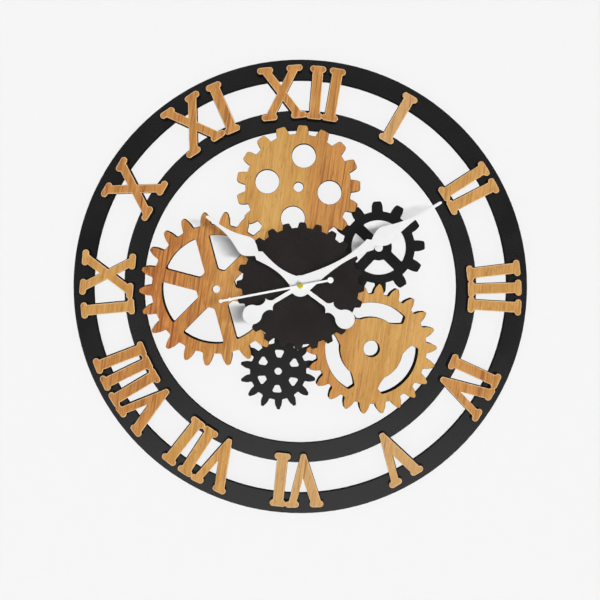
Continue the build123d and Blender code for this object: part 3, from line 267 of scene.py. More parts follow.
def wood(name, start, left, right, lining, mottling, calm, pale=0.0):
    """Upright veneer with lines and flecks, whose redness changes from one place to another.

    left and right are pairs of a place along X and the redness there. lining says how strong the
    lines are, mottling how strong the patches are, and a larger calm leaves less contrast.
    """
    s = Shader(name)

    def figure(size, detail, rough=0.5, twist=0.0):
        across, along = size
        where = s.place((across, across, along), (0, GRAIN_LEAN, 0), start)
        return s.noise(where, detail, rough, twist)

    bands = figure(BANDS, detail=2.0)
    streaks = figure(STREAKS, detail=4.0, rough=0.6, twist=0.4)
    narrow = figure(NARROW_LINES, detail=3.0, twist=0.5)
    patches = figure(PATCHES, detail=4.0, rough=0.6, twist=0.6)
    fibres = figure(FIBRES, detail=3.0, rough=0.6)
    dashes = figure(DASHES, detail=1.0)
    zone = s.span(s.along_x(), left[0], right[0], left[1], right[1])
    redness = s.sum((zone, 1.0), (streaks, 1.0), (bands, 1.0), (patches, mottling))
    golden_up_to = 1.0 + mottling / 2
    red = s.span(redness, golden_up_to, golden_up_to + 1.0)
    shade = s.sum(
        (streaks, STREAK_SHARE),
        (fibres, FIBRE_SHARE),
        (bands, BAND_SHARE - mottling / 2),
        (patches, mottling / 2),
    )
    dark_at = SHADE_MIDDLE - calm
    light_at = SHADE_MIDDLE + calm
    golden = s.ramp(shade, (dark_at, WOOD_MID), (light_at, WOOD_LIGHT))
    reddish = s.ramp(shade, (dark_at, RED_DARK), (light_at, RED_LIGHT))
    plain = s.mix(red, golden, reddish)
    strength = s.sum((red, lining), (streaks, LINE_BY_STREAK * lining))
    lines = s.pair("MULTIPLY", s.span(narrow, LINE_BEGINS, LINE_FULL), strength)
    lined = s.mix(lines, s.mix(pale, plain, WOOD_PALE), WOOD_LINE)
    flecks = s.pair("MULTIPLY", s.span(dashes, FLECK_BEGINS, FLECK_FULL), FLECK_SHARE)
    colour = s.mix(flecks, lined, WOOD_LINE)
    s.relief(s.sum((fibres, 0.6), (flecks, -0.8)), strength=0.25, depth=0.15 * MM)
    return s.finish(colour, s.roughness(fibres, 0.42, 0.56), specular=WOOD_SPECULAR)


# Place along X that lies past the clock's sides
PAST_THE_CLOCK = 1.0
NUMERAL_MOTTLING = 0.4
NUMERAL_CALM = 0.080


def numeral_wood(name, start, redness, lining, pale=0.0):
    """Veneer of the numerals, equally red all over."""
    left = (-PAST_THE_CLOCK, redness)
    right = (PAST_THE_CLOCK, redness)
    return wood(name, start, left, right, lining, NUMERAL_MOTTLING, NUMERAL_CALM, pale)


def painted_edge_highlight():
    """Thin pale rim on a numeral's eased edge: a painted highlight, not the wood's own colour."""
    s = Shader("wood_painted_highlight")
    highlight_noise = s.mottle(2.0 * MM, detail=3.0)
    colour = s.tones(highlight_noise, (0.700, 0.430, 0.210), (0.840, 0.570, 0.310))
    s.relief(highlight_noise, strength=0.15, depth=0.08 * MM)
    return s.finish(colour, s.roughness(highlight_noise, 0.45, 0.6), specular=WOOD_SPECULAR)


def black_board(name, dark, light):
    """Black-faced board with a fine, slightly cloudy satin face."""
    s = Shader(name)
    tooth = s.mottle(0.8 * MM, detail=2.0)
    cloud = s.mottle(0.035, detail=3.0)
    shade = s.sum((tooth, 0.4), (cloud, 0.6))
    colour = s.tones(shade, dark, light)
    rough = s.span(shade, TONES_FROM, TONES_TO, 0.22, 0.30)
    s.relief(tooth, strength=0.06, depth=0.02 * MM)
    return s.finish(colour, rough, specular=0.6)


def cut_edge():
    """Scorched edge of a cut board, streaked through its thickness."""
    s = Shader("scorched_edge")
    scorch = s.noise(s.place((0.9 * MM, 5.0 * MM, 0.9 * MM)), detail=3.0)
    layers = s.noise(s.place((0.05, 0.7 * MM, 0.05)), detail=2.0)
    shade = s.sum((scorch, 0.6), (layers, 0.4))
    colour = s.ramp(shade, (0.35, (0.0030, 0.0026, 0.0024)), (0.68, (0.0090, 0.0068, 0.0052)))
    s.relief(shade, strength=0.3, depth=0.1 * MM)
    return s.finish(colour, s.roughness(shade, 0.75, 0.90), specular=0.08)


# Painted, metal and moulded finishes

def enamel(name, low, high):
    """White sprayed enamel on the hands."""
    s = Shader(name)
    peel = s.mottle(1.6 * MM, detail=2.0)
    cloud = s.mottle(0.03, detail=2.0)
    colour = s.tones(cloud, (low,) * 3, (high,) * 3)
    s.relief(peel, strength=0.08, depth=0.05 * MM)
    return s.finish(colour, s.roughness(peel, 0.30, 0.40))


def gilt(name, low, high):
    """Gold-lacquered boss, part paint and part metal to the eye."""
    s = Shader(name)
    cloud = s.mottle(0.8 * MM, detail=3.0)
    s.relief(cloud, strength=0.05, depth=0.02 * MM)
    return s.finish(s.tones(cloud, low, high), s.roughness(cloud, 0.12, 0.22), metal=0.35)


TOOL_PITCH = 0.25 * MM


def turned_metal(name, low, high, rough_low, rough_high):
    """Metal turned about the hand axis, with fine rings."""
    s = Shader(name)
    where = s.place((1, 1, 1), start=HAND_AXIS)
    flat = s.node("VectorMath", operation="MULTIPLY")
    s.feed(flat.inputs[0], where)
    flat.inputs[1].default_value = (1, 0, 1)
    radius = s.node("VectorMath", operation="LENGTH")
    s.feed(radius.inputs[0], flat.outputs[0])
    rings = s.node("TexNoise", noise_dimensions="1D")
    s.feed(rings.inputs["W"], radius.outputs["Value"])
    rings.inputs["Scale"].default_value = 1 / TOOL_PITCH
    rings.inputs["Detail"].default_value = 2.0
    cloud = s.mottle(4 * MM, detail=3.0)
    shade = s.sum((rings.outputs[0], 0.6), (cloud, 0.4))
    colour = s.tones(shade, low, high)
    s.relief(rings.outputs[0], strength=0.06, depth=0.03 * MM)
    return s.finish(colour, s.roughness(shade, rough_low, rough_high), metal=1.0)


def rolled_metal(name, low, high, rough_low, rough_high):
    """Sheet metal with marks along X from rolling."""
    s = Shader(name)
    marks = s.noise(s.place((6 * MM, 0.3 * MM, 0.3 * MM)), detail=3.0)
    cloud = s.mottle(5 * MM, detail=3.0)
    shade = s.sum((marks, 0.5), (cloud, 0.5))
    s.relief(marks, strength=0.08, depth=0.03 * MM)
    colour = s.tones(shade, low, high)
    return s.finish(colour, s.roughness(shade, rough_low, rough_high), metal=1.0)


def moulded(name, low, high, rough_low, rough_high, grain):
    """Moulded piece with a fine spark-eroded grain."""
    s = Shader(name)
    tooth = s.mottle(grain, detail=2.0)
    cloud = s.mottle(0.012, detail=2.0)
    shade = s.sum((tooth, 0.5), (cloud, 0.5))
    s.relief(tooth, strength=0.2, depth=0.08 * MM)
    colour = s.tones(shade, low, high)
    return s.finish(colour, s.roughness(shade, rough_low, rough_high))


WIRE_PITCH = 0.25 * MM


def winding():
    """Lacquered copper wire wound side by side along X."""
    s = Shader("copper_winding")
    turns = s.waves(s.place((WIRE_PITCH * 2 * pi, 1, 1)))
    cloud = s.mottle(2 * MM, detail=2.0)
    shade = s.sum((turns, 0.6), (cloud, 0.4))
    s.relief(turns, strength=0.5, depth=0.08 * MM)
    colour = s.ramp(shade, (0.25, (0.30, 0.085, 0.030)), (0.75, (0.62, 0.240, 0.095)))
    return s.finish(colour, s.span(shade, 0.2, 0.8, 0.25, 0.4), metal=0.8)


def laminate():
    """Green board with paler tracks under its lacquer."""
    s = Shader("circuit_laminate")
    tracks = s.span(s.cell_edges(s.place((2.2 * MM,) * 3)), 0.10, 0.16)
    weave = s.mottle(0.5 * MM, detail=2.0)
    green = s.tones(weave, (0.012, 0.085, 0.030), (0.018, 0.115, 0.042))
    s.relief(tracks, strength=0.2, depth=0.04 * MM)
    colour = s.mix(tracks, (0.030, 0.200, 0.080), green)
    return s.finish(colour, s.roughness(weave, 0.28, 0.4))


SLEEVE_BAND_AT = 0.74
SLEEVE_BAND_BLUR = 0.1 * MM


def cell_jacket(low, high):
    """Plain shrunk sleeve of the cell: a dark body and a warm band towards its nub."""
    s = Shader("cell_sleeve")
    band_at = low.x + SLEEVE_BAND_AT * (high.x - low.x)
    band = s.span(s.along_x(), band_at, band_at + SLEEVE_BAND_BLUR)
    film = s.mottle(3 * MM, detail=2.0)
    body = s.tones(film, (0.016, 0.020, 0.028), (0.024, 0.029, 0.038))
    warm = s.tones(film, (0.46, 0.210, 0.080), (0.54, 0.260, 0.105))
    s.relief(film, strength=0.05, depth=0.05 * MM)
    return s.finish(s.mix(band, body, warm), s.roughness(film, 0.24, 0.34))


WOOD_TOP = wood(
    "wood_top", start=(0.31, 0.0, 0.10), left=(0.000, -0.15), right=(0.014, 0.55),
    lining=0.85, mottling=0.1, calm=0.105,
)
WOOD_LEFT = wood(
    "wood_left", start=(-0.17, 0.2, 0.35), left=(-0.200, 1.10), right=(-0.050, 0.15),
    lining=0.75, mottling=0.7, calm=0.065,
)
WOOD_RIGHT = wood(
    "wood_right", start=(0.12, 0.3, -0.07), left=(0.040, 0.58), right=(0.090, -0.04),
    lining=0.70, mottling=0.2, calm=0.105,
)
WOOD_PLAIN = numeral_wood("wood_plain", (0.52, 0.4, -0.20), redness=0.18, lining=0.95)
WOOD_FAIR = numeral_wood("wood_fair", (0.63, 0.5, 0.12), redness=0.14, lining=1.10, pale=0.30)
WOOD_RED = numeral_wood("wood_red", (0.05, 0.6, 0.27), redness=0.64, lining=0.80)
WOOD_STREAKED = numeral_wood("wood_streaked", (0.41, 0.7, 0.02), redness=0.54, lining=0.90)
# Pale painted highlight on the numerals' arrises and the band beside them
EDGE_HIGHLIGHT = painted_edge_highlight()
BLACK = black_board("black_board_face", (0.0052, 0.0048, 0.0049), (0.0085, 0.0080, 0.0081))
INNER = black_board("inner_ring_face", (0.0094, 0.0090, 0.0090), (0.0127, 0.0122, 0.0122))
PLATE = black_board("plate_face", (0.0125, 0.0088, 0.0088), (0.0165, 0.0122, 0.0122))
EDGE = cut_edge()
ENAMEL = enamel("white_enamel", 0.855, 0.885)
BRIGHT = enamel("bright_enamel", 0.925, 0.950)
BRASS = turned_metal("turned_brass", (0.80, 0.600, 0.120), (0.92, 0.740, 0.220), 0.20, 0.32)
GILT = gilt("gilt_boss", (0.700, 0.540, 0.035), (0.840, 0.680, 0.070))
STEEL = rolled_metal("zinc_steel", (0.48, 0.48, 0.49), (0.66, 0.66, 0.66), 0.28, 0.42)
STRIP = rolled_metal("spring_strip", (0.60, 0.58, 0.52), (0.74, 0.72, 0.66), 0.20, 0.32)
CASE = moulded("black_moulding", (0.009, 0.009, 0.010), (0.016, 0.016, 0.017), 0.46, 0.60, 0.6 * MM)
TRAIN = moulded("white_moulding", (0.70, 0.70, 0.67), (0.78, 0.78, 0.75), 0.36, 0.46, 0.5 * MM)
RUBBER = moulded("rubber", (0.014, 0.014, 0.014), (0.028, 0.028, 0.028), 0.76, 0.90, 0.4 * MM)
COPPER = winding()
CIRCUIT = laminate()
SLEEVE = cell_jacket(*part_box("battery"))

ARRIS = 0.4 * MM
FINE_ARRIS = 0.1 * MM
GLUE = 0.04 * MM
# Width of the front band beside a numeral's arris that takes the painted highlight
HIGHLIGHT_BAND = 0.55 * MM
PLY_PROUD = 0.35 * MM

# Each numeral's face, and how far its black ply is moved to the right and upward, in millimetres
NUMERALS = (
    (WOOD_FAIR, (-0.3, 0.6)),
    (WOOD_PLAIN, (-0.7, 0.7)),
    (WOOD_PLAIN, (0.0, 0.6)),
    (WOOD_STREAKED, (-1.0, 1.0)),
    (WOOD_FAIR, (1.0, 0.8)),
    (WOOD_FAIR, (0.2, 0.0)),
    (WOOD_PLAIN, (-0.4, 1.2)),
    (WOOD_RED, (-0.4, 1.3)),
    (WOOD_PLAIN, (0.4, 1.2)),
    (WOOD_RED, (1.5, 0.5)),
    (WOOD_STREAKED, (0.5, -1.0)),
    (WOOD_STREAKED, (-0.7, -1.1)),
)

# Flat cut boards: each node's front finish, slot and arris
BOARDS = {
    "inner_ring": (INNER, "black_board", ARRIS),
    "top_gear": (WOOD_TOP, "wood_face", ARRIS),
    "left_gear": (WOOD_LEFT, "wood_face", FINE_ARRIS),
    "left_gear_backing": (BLACK, "black_board", FINE_ARRIS),
    "lower_right_gear": (WOOD_RIGHT, "wood_face", ARRIS),
    "lower_right_gear_backing": (BLACK, "black_board", FINE_ARRIS),
    "upper_right_gear": (BLACK, "black_board", ARRIS),
    "lower_gear": (BLACK, "black_board", ARRIS),
    "centre_plate": (PLATE, "black_board", ARRIS),
    "top_gear_spacer": (BLACK, "black_board", ARRIS),
}

# Other pieces: each node's finish, slot and radius of the edges
LOOKS = {
    "hour_hand": (ENAMEL, "hand_white", 0.18 * MM),
    "minute_hand": (ENAMEL, "hand_white", 0.18 * MM),
    "second_hand": (BRIGHT, "hand_white", 0.18 * MM),
    "second_hand_cap": (GILT, "brass", 0.15 * MM),
    "brass_washer": (BRASS, "brass", 0.15 * MM),
    "bushing_nut": (BRASS, "brass", 0.25 * MM),
    "threaded_bushing": (BRASS, "brass", 0.15 * MM),
    "rubber_washer": (RUBBER, "rubber", 0.15 * MM),
    "hanger_plate": (STEEL, "steel", 0.15 * MM),
    "hanger_screws": (STEEL, "steel", 0.15 * MM),
    "wall_pads": (RUBBER, "rubber", 0.5 * MM),
    "movement_front_case": (CASE, "case_plastic", 0.25 * MM),
    "movement_back_cover": (CASE, "case_plastic", 0.25 * MM),
    "setting_knob": (CASE, "case_plastic", 0.2 * MM),
    "battery_contact_positive": (STRIP, "steel", 0.08 * MM),
    "battery_contact_negative": (STRIP, "steel", 0.08 * MM),
}

# Works sealed in the movement's case keep their solids
WORKS = {
    "train_bridge": TRAIN, "hour_wheel": TRAIN, "minute_arbor": STEEL, "minute_wheel": TRAIN,
    "centre_wheel": TRAIN, "third_wheel": TRAIN, "second_wheel": TRAIN, "intermediate_wheel": TRAIN,
    "rotor": TRAIN, "stator": STEEL, "coil_core": STEEL, "coil": COPPER,
    "circuit_board": CIRCUIT, "quartz_crystal": STRIP,
}


# Pieces

WELD = 0.002 * MM
FLAT_ANGLE = radians(0.1)
SHARP_ANGLE = radians(40.0)
# Least part of a normal along Y that makes a face a front or a back
FRONT_SLOPE = 0.9


def add_piece(name, mesh, node):
    """New object that stands for a node and rides on its body."""
    piece = bpy.data.objects.new(name, mesh)
    SCENE.collection.objects.link(piece)
    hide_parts(node)
    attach(piece, BODY_OF[node])
    return piece


def soften(piece, radius):
    """Rounded edges that leave the flat faces flat."""
    edge = piece.modifiers.new("edge", "BEVEL")
    edge.width = radius
    edge.segments = 2
    edge.limit_method = "ANGLE"
    edge.angle_limit = SHARP_ANGLE
    edge.use_clamp_overlap = False
    edge.harden_normals = True


def dressed(node, finish, slot, radius):
    """Copy of a node's solid with rounded edges and one finish."""
    mesh = NODES[node].data.copy()
    mesh.name = node + "_form"
    form = bmesh.new()
    form.from_mesh(mesh)
    bmesh.ops.remove_doubles(form, verts=form.verts, dist=WELD)
    bmesh.ops.dissolve_limit(form, angle_limit=FLAT_ANGLE, verts=form.verts, edges=form.edges)
    for face in form.faces:
        face.smooth = abs(face.normal.y) < FRONT_SLOPE
        face.material_index = 0
    form.to_mesh(mesh)
    form.free()
    mesh.materials.clear()
    mesh.materials.append(finish)
    piece = add_piece(node + "_piece", mesh, node)
    soften(piece, radius)
    return piece


def outline_loops(node):
    """Closed loops of a board's front face as (x, z) points, with the board on their left."""
    form = bmesh.new()
    form.from_mesh(NODES[node].data)
    bmesh.ops.remove_doubles(form, verts=form.verts, dist=WELD)
    # Walked in the mesh's own order, so that each run gives the same loops
    faces = [face for face in form.faces if face.normal.y < -FRONT_SLOPE]
    front = set(faces)
    following = {
        corner.vert: corner.link_loop_next.vert
        for face in faces
        for corner in face.loops
        if not any(other in front for other in corner.edge.link_faces if other is not face)
    }
    loops = []
    while following:
        vert = next(iter(following))
        loop = []
        while vert in following:
            loop.append(Vector((vert.co.x, vert.co.z)))
            vert = following.pop(vert)
        loops.append(loop)
    form.free()
    return loops


# Least divisor of a mitre, which holds it back at keen corners
KEEN = 0.8


def inset(loop, distance):
    """Loop moved into its board by a distance, with mitres held back at keen corners."""
    moved = []
    for before, here, after in zip(loop[-1:] + loop[:-1], loop, loop[1:] + loop[:1]):
        arriving = (here - before).normalized()
        leaving = (after - here).normalized()
        first = Vector((-arriving.y, arriving.x))
        second = Vector((-leaving.y, leaving.x))
        moved.append(here + (first + second) * (distance / max(1 + first.dot(second), KEEN)))
    return moved


FACE, RIM, SIDE, BACK = range(4)
INSIDE = 1
SAME_POINT = 1e-9


def fill(form, rings, finish):
    """Flat face between closed rings of vertices: what lies inside an odd number of them."""
    verts = [vert for ring in rings for vert in ring]
    flat = [Vector((vert.co.x, vert.co.z)) for vert in verts]
    outlines = []
    for ring in rings:
        first = sum(len(outline) for outline in outlines)
        outline = list(range(first, first + len(ring)))
        nexts = outline[1:] + outline[:1]
        turning = sum(flat[k].cross(flat[m]) for k, m in zip(outline, nexts))
        outlines.append(outline if turning > 0 else outline[::-1])
    _, _, faces, sources, _, around = delaunay_2d_cdt(flat, [], outlines, INSIDE, SAME_POINT)
    for corners, rings_round in zip(faces, around):
        if len(rings_round) % 2:
            face = form.faces.new([verts[sources[k][0]] for k in corners])
            face.material_index = finish


def slab(form, loops, near, far, finishes, arris=ARRIS, band=0.0, closed=True):
    """Board of an outline between two depths, with rounded arrises and a finish for each part.

    A band of the front beside its arris may take the arris's finish.
    """
    eased = (1 - cos(pi / 4)) * arris
    steps = [(near, arris), (near + eased, eased), (near + arris, 0.0)]
    if band:
        steps.insert(0, (near, arris + band))
    rims = len(steps) - 1
    if closed:
        steps += [(far - arris, 0.0), (far - eased, eased), (far, arris)]
    else:
        steps += [(far, 0.0)]
    fronts, backs = [], []
    for loop in loops:
        rings = [
            [form.verts.new((point.x, depth, point.y)) for point in inset(loop, by)]
            for depth, by in steps
        ]
        for step, (ring, behind) in enumerate(zip(rings, rings[1:])):
            for k in range(len(loop)):
                m = (k + 1) % len(loop)
                side = form.faces.new((ring[m], ring[k], behind[k], behind[m]))
                side.material_index = finishes[RIM] if step < rims else finishes[SIDE]
        fronts.append(rings[0])
        backs.append(rings[-1])
    fill(form, fronts, finishes[FACE])
    if closed:
        fill(form, backs, finishes[BACK])


def board_piece(node, form, front, rim):
    """Piece from a finished board's mesh."""
    bmesh.ops.recalc_face_normals(form, faces=form.faces)
    mesh = bpy.data.meshes.new(node + "_form")
    form.to_mesh(mesh)
    form.free()
    mesh.set_sharp_from_angle(angle=SHARP_ANGLE)
    smooth = [abs(face.normal.y) < FRONT_SLOPE for face in mesh.polygons]
    mesh.polygons.foreach_set("use_smooth", smooth)
    for finish in (front, rim, EDGE, BLACK):
        mesh.materials.append(finish)
    return add_piece(node + "_piece", mesh, node)


def board(node, front, slot, arris):
    """Cut board rebuilt from its outline: flat faces, rounded arrises and dark edges."""
    low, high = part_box(node)
    form = bmesh.new()
    slab(form, outline_loops(node), low.y, high.y, (FACE, RIM, SIDE, BACK), arris)
    return board_piece(node, form, front, EDGE)


def pocketed_board(node, front):
    """Cut board rebuilt at its front and edges, with the pockets and holes of its back kept."""
    low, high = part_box(node)
    form = bmesh.new()
    form.from_mesh(NODES[node].data)
    bmesh.ops.remove_doubles(form, verts=form.verts, dist=WELD)
    front_side = [
        face for face in form.faces
        if any(vert.co.y < low.y + WELD for vert in face.verts)
    ]
    bmesh.ops.delete(form, geom=front_side, context="FACES")
    for face in form.faces:
        face.material_index = BACK
    slab(form, outline_loops(node), low.y, high.y, (FACE, RIM, SIDE, BACK), closed=False)
    bmesh.ops.remove_doubles(form, verts=form.verts, dist=WELD)
    return board_piece(node, form, front, EDGE)


def numeral(node, front, shift):
    """Numeral of two glued plies: a wood face, and a black ply that shows a little past it."""
    low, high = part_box(node)
    joint = (low.y + high.y) / 2
    loops = outline_loops(node)
    moved = Vector(shift) * MM
    form = bmesh.new()
    # The arris and a band of the front beside it take the pale painted highlight
    slab(form, loops, low.y, joint - GLUE / 2, (FACE, RIM, SIDE, BACK), band=HIGHLIGHT_BAND)
    behind = [[point + moved for point in inset(loop, -PLY_PROUD)] for loop in loops]
    slab(form, behind, joint + GLUE / 2, high.y, (BACK, SIDE, SIDE, BACK))
    return board_piece(node, form, front, EDGE_HIGHLIGHT)


PIECES = {node: dressed(node, *look) for node, look in LOOKS.items()}
PIECES.update({node: board(node, *look) for node, look in BOARDS.items()})
PIECES["outer_ring"] = pocketed_board("outer_ring", BLACK)
for hour, (face, shift) in enumerate(NUMERALS, start=1):
    node = f"numeral_{hour:02d}"
    PIECES[node] = numeral(node, face, shift)
for node, finish in WORKS.items():
    solid = NODES[node].data
    solid.materials.clear()
    solid.materials.append(finish)


# Cell

CELL_SIDES = 64
CELL_SHARP = radians(35)
NUB_R = 2.6 * MM
NUB_L = 1.3 * MM
LIP = 0.35 * MM
# Bare base: distance along as a share of the lip, and share of the cell's radius
CELL_BASE = ((1.0, 0.0), (1.0, 0.66), (0.6, 0.74), (0.6, 0.86))
# Rolled end of the sleeve: distance from the end, and share of the cell's radius
ROLLED_END = ((0.0, 0.90), (0.08 * MM, 0.95), (0.45 * MM, 0.99), (0.9 * MM, 1.0))
SEALED_TOP = 0.84
SLEEVE_INNER = 0.85


def lathe(profile, axis_start):
    """Mesh turned about a line along X, from points of distance along it and radius."""
    form = bmesh.new()
    rings = []
    for along, radius in profile:
        if radius == 0:
            rings.append([form.verts.new(axis_start + Vector((along, 0, 0)))])
            continue
        angles = [2 * pi * k / CELL_SIDES for k in range(CELL_SIDES)]
        rings.append([
            form.verts.new(axis_start + Vector((along, radius * cos(a), radius * sin(a))))
            for a in angles
        ])
    for ring, following in zip(rings, rings[1:]):
        for k in range(CELL_SIDES):
            m = (k + 1) % CELL_SIDES
            corners = [
                ring[k % len(ring)],
                ring[m % len(ring)],
                following[m % len(following)],
                following[k % len(following)],
            ]
            form.faces.new(list(dict.fromkeys(corners)))
    bmesh.ops.recalc_face_normals(form, faces=form.faces)
    return form


def battery():
    """AA cell: shrunk sleeve with rolled ends, bare base and bare nub."""
    low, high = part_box("battery")
    length = high.x - low.x
    radius = (high.z - low.z) / 2
    start = Vector((low.x, (low.y + high.y) / 2, (low.z + high.z) / 2))
    can = length - NUB_L
    rolled = [(along, share * radius) for along, share in ROLLED_END]
    profile = [
        *((share_along * LIP, share * radius) for share_along, share in CELL_BASE),
        *rolled,
        *((can - along, off_axis) for along, off_axis in reversed(rolled)),
        (can - LIP, SEALED_TOP * radius),
        (can - LIP, NUB_R + 1.2 * MM),
        (can - 0.1 * MM, NUB_R + 0.5 * MM),
        (can + 0.1 * MM, NUB_R + 0.05 * MM),
        (length - 0.35 * MM, NUB_R),
        (length - 0.1 * MM, 0.94 * NUB_R),
        (length, 0.8 * NUB_R),
        (length, 0),
    ]
    form = lathe(profile, start)
    sleeve_low = start.x - MM
    sleeve_high = start.x + can + 0.01 * MM
    for face in form.faces:
        face.smooth = True
        middle = face.calc_center_median()
        off_axis = Vector((0, middle.y - start.y, middle.z - start.z)).length
        sleeve = sleeve_low < middle.x < sleeve_high and off_axis > SLEEVE_INNER * radius
        face.material_index = 0 if sleeve else 1
    mesh = bpy.data.meshes.new("battery_form")
    form.to_mesh(mesh)
    form.free()
    mesh.set_sharp_from_angle(angle=CELL_SHARP)
    mesh.materials.append(SLEEVE)
    mesh.materials.append(STEEL)
    return add_piece("battery_piece", mesh, "battery")


PIECES["battery"] = battery()


# Stage: wall, floor, world, lamps and camera

WALL_WHITE = 0.45
WALL_GLOW = 0.190
WALL_BACK = 0.6 * MM
WALL_HALF = 2.2
WALL_TOP = 1.4
FLOOR_Z = -1.25
FLOOR_HALF = 4.0
FLOOR_GLOW = 0.66
PALE = (0.913, 0.913, 0.913, 1.0)


def plane(name, corners, material):
    mesh = bpy.data.meshes.new(name)
    mesh.from_pydata(corners, [], [(0, 1, 2, 3)])
    mesh.materials.append(material)
    made = bpy.data.objects.new(name, mesh)
    SCENE.collection.objects.link(made)
    return made


def wall_finish():
    """White wall seen only from its front, so that lamps and views behind it stay free."""
    s = Shader("wall_white")
    paint = s.mottle(0.02, detail=2.0)
    colour = s.ramp(paint, (0.3, (WALL_WHITE,) * 3), (0.7, (WALL_WHITE + 0.004,) * 3))
    s.finish(colour, 1.0, specular=0.0)
    s.surface.inputs["Emission Color"].default_value = WHITE
    s.surface.inputs["Emission Strength"].default_value = WALL_GLOW
    ray = s.node("LightPath")
    side = s.node("NewGeometry")
    ahead = s.pair("SUBTRACT", 1.0, side.outputs["Backfacing"])
    shown = s.pair("MULTIPLY", ray.outputs["Is Camera Ray"], ahead)
    clear = s.node("BsdfTransparent")
    blend = s.node("MixShader")
    s.feed(blend.inputs[0], shown)
    s.feed(blend.inputs[1], clear.outputs[0])
    s.feed(blend.inputs[2], s.surface.outputs[0])
    s.feed(s.output.inputs["Surface"], blend.outputs[0])
    return s.material


def floor_finish():
    """Pale floor that keeps shadows, and that cameras and glossy faces see as a bright sweep."""
    s = Shader("floor_pale")
    cloud = s.mottle(0.25, detail=3.0)
    s.finish(s.ramp(cloud, (0.3, (0.80,) * 3), (0.7, (0.83,) * 3)), 0.8, specular=0.0)
    ray = s.node("LightPath")
    mirrored = s.pair("MAXIMUM", ray.outputs["Is Glossy Ray"], ray.outputs["Is Transmission Ray"])
    glow = s.sum((ray.outputs["Is Camera Ray"], FLOOR_GLOW), (mirrored, FLOOR_GLOW))
    s.surface.inputs["Emission Color"].default_value = WHITE
    s.feed(s.surface.inputs["Emission Strength"], glow)
    return s.material


WALL = plane(
    "wall",
    [
        (-WALL_HALF, WALL_BACK, FLOOR_Z),
        (WALL_HALF, WALL_BACK, FLOOR_Z),
        (WALL_HALF, WALL_BACK, WALL_TOP),
        (-WALL_HALF, WALL_BACK, WALL_TOP),
    ],
    wall_finish(),
)
FLOOR = plane(
    "floor",
    [
        (-FLOOR_HALF, -FLOOR_HALF, FLOOR_Z),
        (FLOOR_HALF, -FLOOR_HALF, FLOOR_Z),
        (FLOOR_HALF, FLOOR_HALF, FLOOR_Z),
        (-FLOOR_HALF, FLOOR_HALF, FLOOR_Z),
    ],
    floor_finish(),
)

WORLD_FILL = 0.14
# Brightness that glossy faces see, by the sine of its height over the horizon
GLOSS_BY_HEIGHT = ((-0.24, 0.90), (-0.07, 0.16), (0.03, 0.14), (0.30, 0.26))


def world():
    """Pale round the camera, darker and by height in reflections, and a low even fill."""
    made = bpy.data.worlds.new("studio")
    SCENE.world = made
    made.use_nodes = True
    tree = made.node_tree
    pale = tree.nodes["Background"]
    pale.inputs["Color"].default_value = PALE
    even = tree.nodes.new("ShaderNodeBackground")
    even.inputs["Color"].default_value = WHITE
    even.inputs["Strength"].default_value = WORLD_FILL
    gloss = tree.nodes.new("ShaderNodeBackground")
    where = tree.nodes.new("ShaderNodeNewGeometry")
    height = tree.nodes.new("ShaderNodeSeparateXYZ")
    tree.links.new(where.outputs["Position"], height.inputs[0])
    share = tree.nodes.new("ShaderNodeMapRange")
    tree.links.new(height.outputs["Z"], share.inputs["Value"])
    share.inputs["From Min"].default_value = -1.0
    share.inputs["From Max"].default_value = 1.0
    ramp = tree.nodes.new("ShaderNodeValToRGB")
    tree.links.new(share.outputs[0], ramp.inputs[0])
    set_stops(ramp, [((rise + 1) / 2, (level,) * 3) for rise, level in GLOSS_BY_HEIGHT])
    tree.links.new(ramp.outputs[0], gloss.inputs["Color"])
    ray = tree.nodes.new("ShaderNodeLightPath")
    seen = tree.nodes.new("ShaderNodeMath")
    seen.operation = "MAXIMUM"
    tree.links.new(ray.outputs["Is Glossy Ray"], seen.inputs[0])
    tree.links.new(ray.outputs["Is Transmission Ray"], seen.inputs[1])
    first = tree.nodes.new("ShaderNodeMixShader")
    tree.links.new(seen.outputs[0], first.inputs[0])
    tree.links.new(even.outputs[0], first.inputs[1])
    tree.links.new(gloss.outputs[0], first.inputs[2])
    last = tree.nodes.new("ShaderNodeMixShader")
    tree.links.new(ray.outputs["Is Camera Ray"], last.inputs[0])
    tree.links.new(first.outputs[0], last.inputs[1])
    tree.links.new(pale.outputs[0], last.inputs[2])
    tree.links.new(last.outputs[0], tree.nodes["World Output"].inputs["Surface"])


def group(name, members):
    made = bpy.data.collections.new(name)
    for member in members:
        made.objects.link(member)
    return made


def lamp(name, towards, receivers, blockers=None, *, share, spread):
    """Distant soft lamp shining along a direction on its receivers alone.

    share is its part of full light on the front, and spread its size in degrees. Where blockers
    are named, only these throw a shadow.
    """
    data = bpy.data.lights.new(name, "SUN")
    towards = Vector(towards).normalized()
    data.energy = share * pi / abs(towards.y)
    data.angle = radians(spread)
    made = bpy.data.objects.new(name, data)
    made.rotation_mode = "QUATERNION"
    made.rotation_quaternion = towards.to_track_quat("-Z", "Y")
    made.visible_glossy = False
    made.light_linking.receiver_collection = receivers
    if blockers:
        made.light_linking.blocker_collection = blockers
    SCENE.collection.objects.link(made)


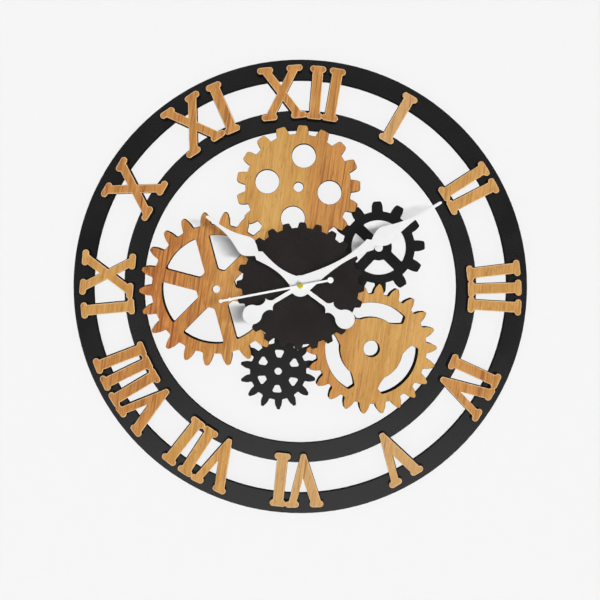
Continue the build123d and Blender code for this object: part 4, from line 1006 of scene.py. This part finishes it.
SECOND_NODES = ("second_hand", "second_hand_cap")
HAND_NODES = ("hour_hand", "minute_hand", *SECOND_NODES)
OBJECT = group("lit_object", [*PIECES.values(), *(NODES[node] for node in WORKS)])
BOARDS_LIT = group("lit_boards", [piece for node, piece in PIECES.items() if node not in HAND_NODES])
BACKDROP = group("lit_backdrop", [WALL])
GROUND = group("lit_ground", [FLOOR])
HANDS = group("hands", [PIECES[node] for node in HAND_NODES])
FOREMOST = group("foremost_hand", [PIECES[node] for node in SECOND_NODES])
# Strip light on the wall: its lamps, their slants to the left and their share together
STRIP_LAMPS = 8
STRIP_NEAR = 0.15
STRIP_FAR = 0.90
WALL_KEY = 1.43
world()
lamp("key", (-0.45, 1.0, 0.0), OBJECT, share=0.06, spread=16.0)
lamp("hand_key", (-1.1, 1.0, 0.0), BOARDS_LIT, HANDS, share=0.66, spread=28.0)
lamp("hub_key", (-0.6, 1.0, 0.7), HANDS, FOREMOST, share=0.66, spread=30.0)
for step in range(STRIP_LAMPS):
    slant = STRIP_NEAR + (STRIP_FAR - STRIP_NEAR) * (step + 0.5) / STRIP_LAMPS
    lamp(
        f"wall_key_{step}", (-slant, 1.0, 0.0), BACKDROP, HANDS,
        share=WALL_KEY / STRIP_LAMPS, spread=6.0,
    )
lamp("front_fill", (0.15, 1.0, -0.20), OBJECT, share=0.15, spread=80.0)
lamp("rear_fill", (0.35, -1.0, -0.45), OBJECT, share=0.70, spread=60.0)
lamp("floor_key", (0.10, 0.30, -1.0), GROUND, share=0.06, spread=40.0)

PHOTO_SIDE = 600
HAND_PIXEL = (300.3, 286.4)
PIXEL = 1.3222 * MM
CAMERA_GAP = 0.900
SENSOR = 36.0


def camera():
    """Square-on view with the hand axis and the rings where the photograph has them."""
    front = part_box("outer_ring")[0].y
    data = bpy.data.cameras.new("camera")
    data.sensor_width = SENSOR
    data.lens = SENSOR * CAMERA_GAP / (PHOTO_SIDE * PIXEL)
    made = bpy.data.objects.new("camera", data)
    made.location = (
        HAND_AXIS.x + (PHOTO_SIDE / 2 - HAND_PIXEL[0]) * PIXEL,
        front - CAMERA_GAP,
        HAND_AXIS.z - (PHOTO_SIDE / 2 - HAND_PIXEL[1]) * PIXEL,
    )
    made.rotation_euler = (radians(90), 0, 0)
    SCENE.collection.objects.link(made)
    SCENE.camera = made


camera()
SCENE.view_settings.view_transform = "Standard"
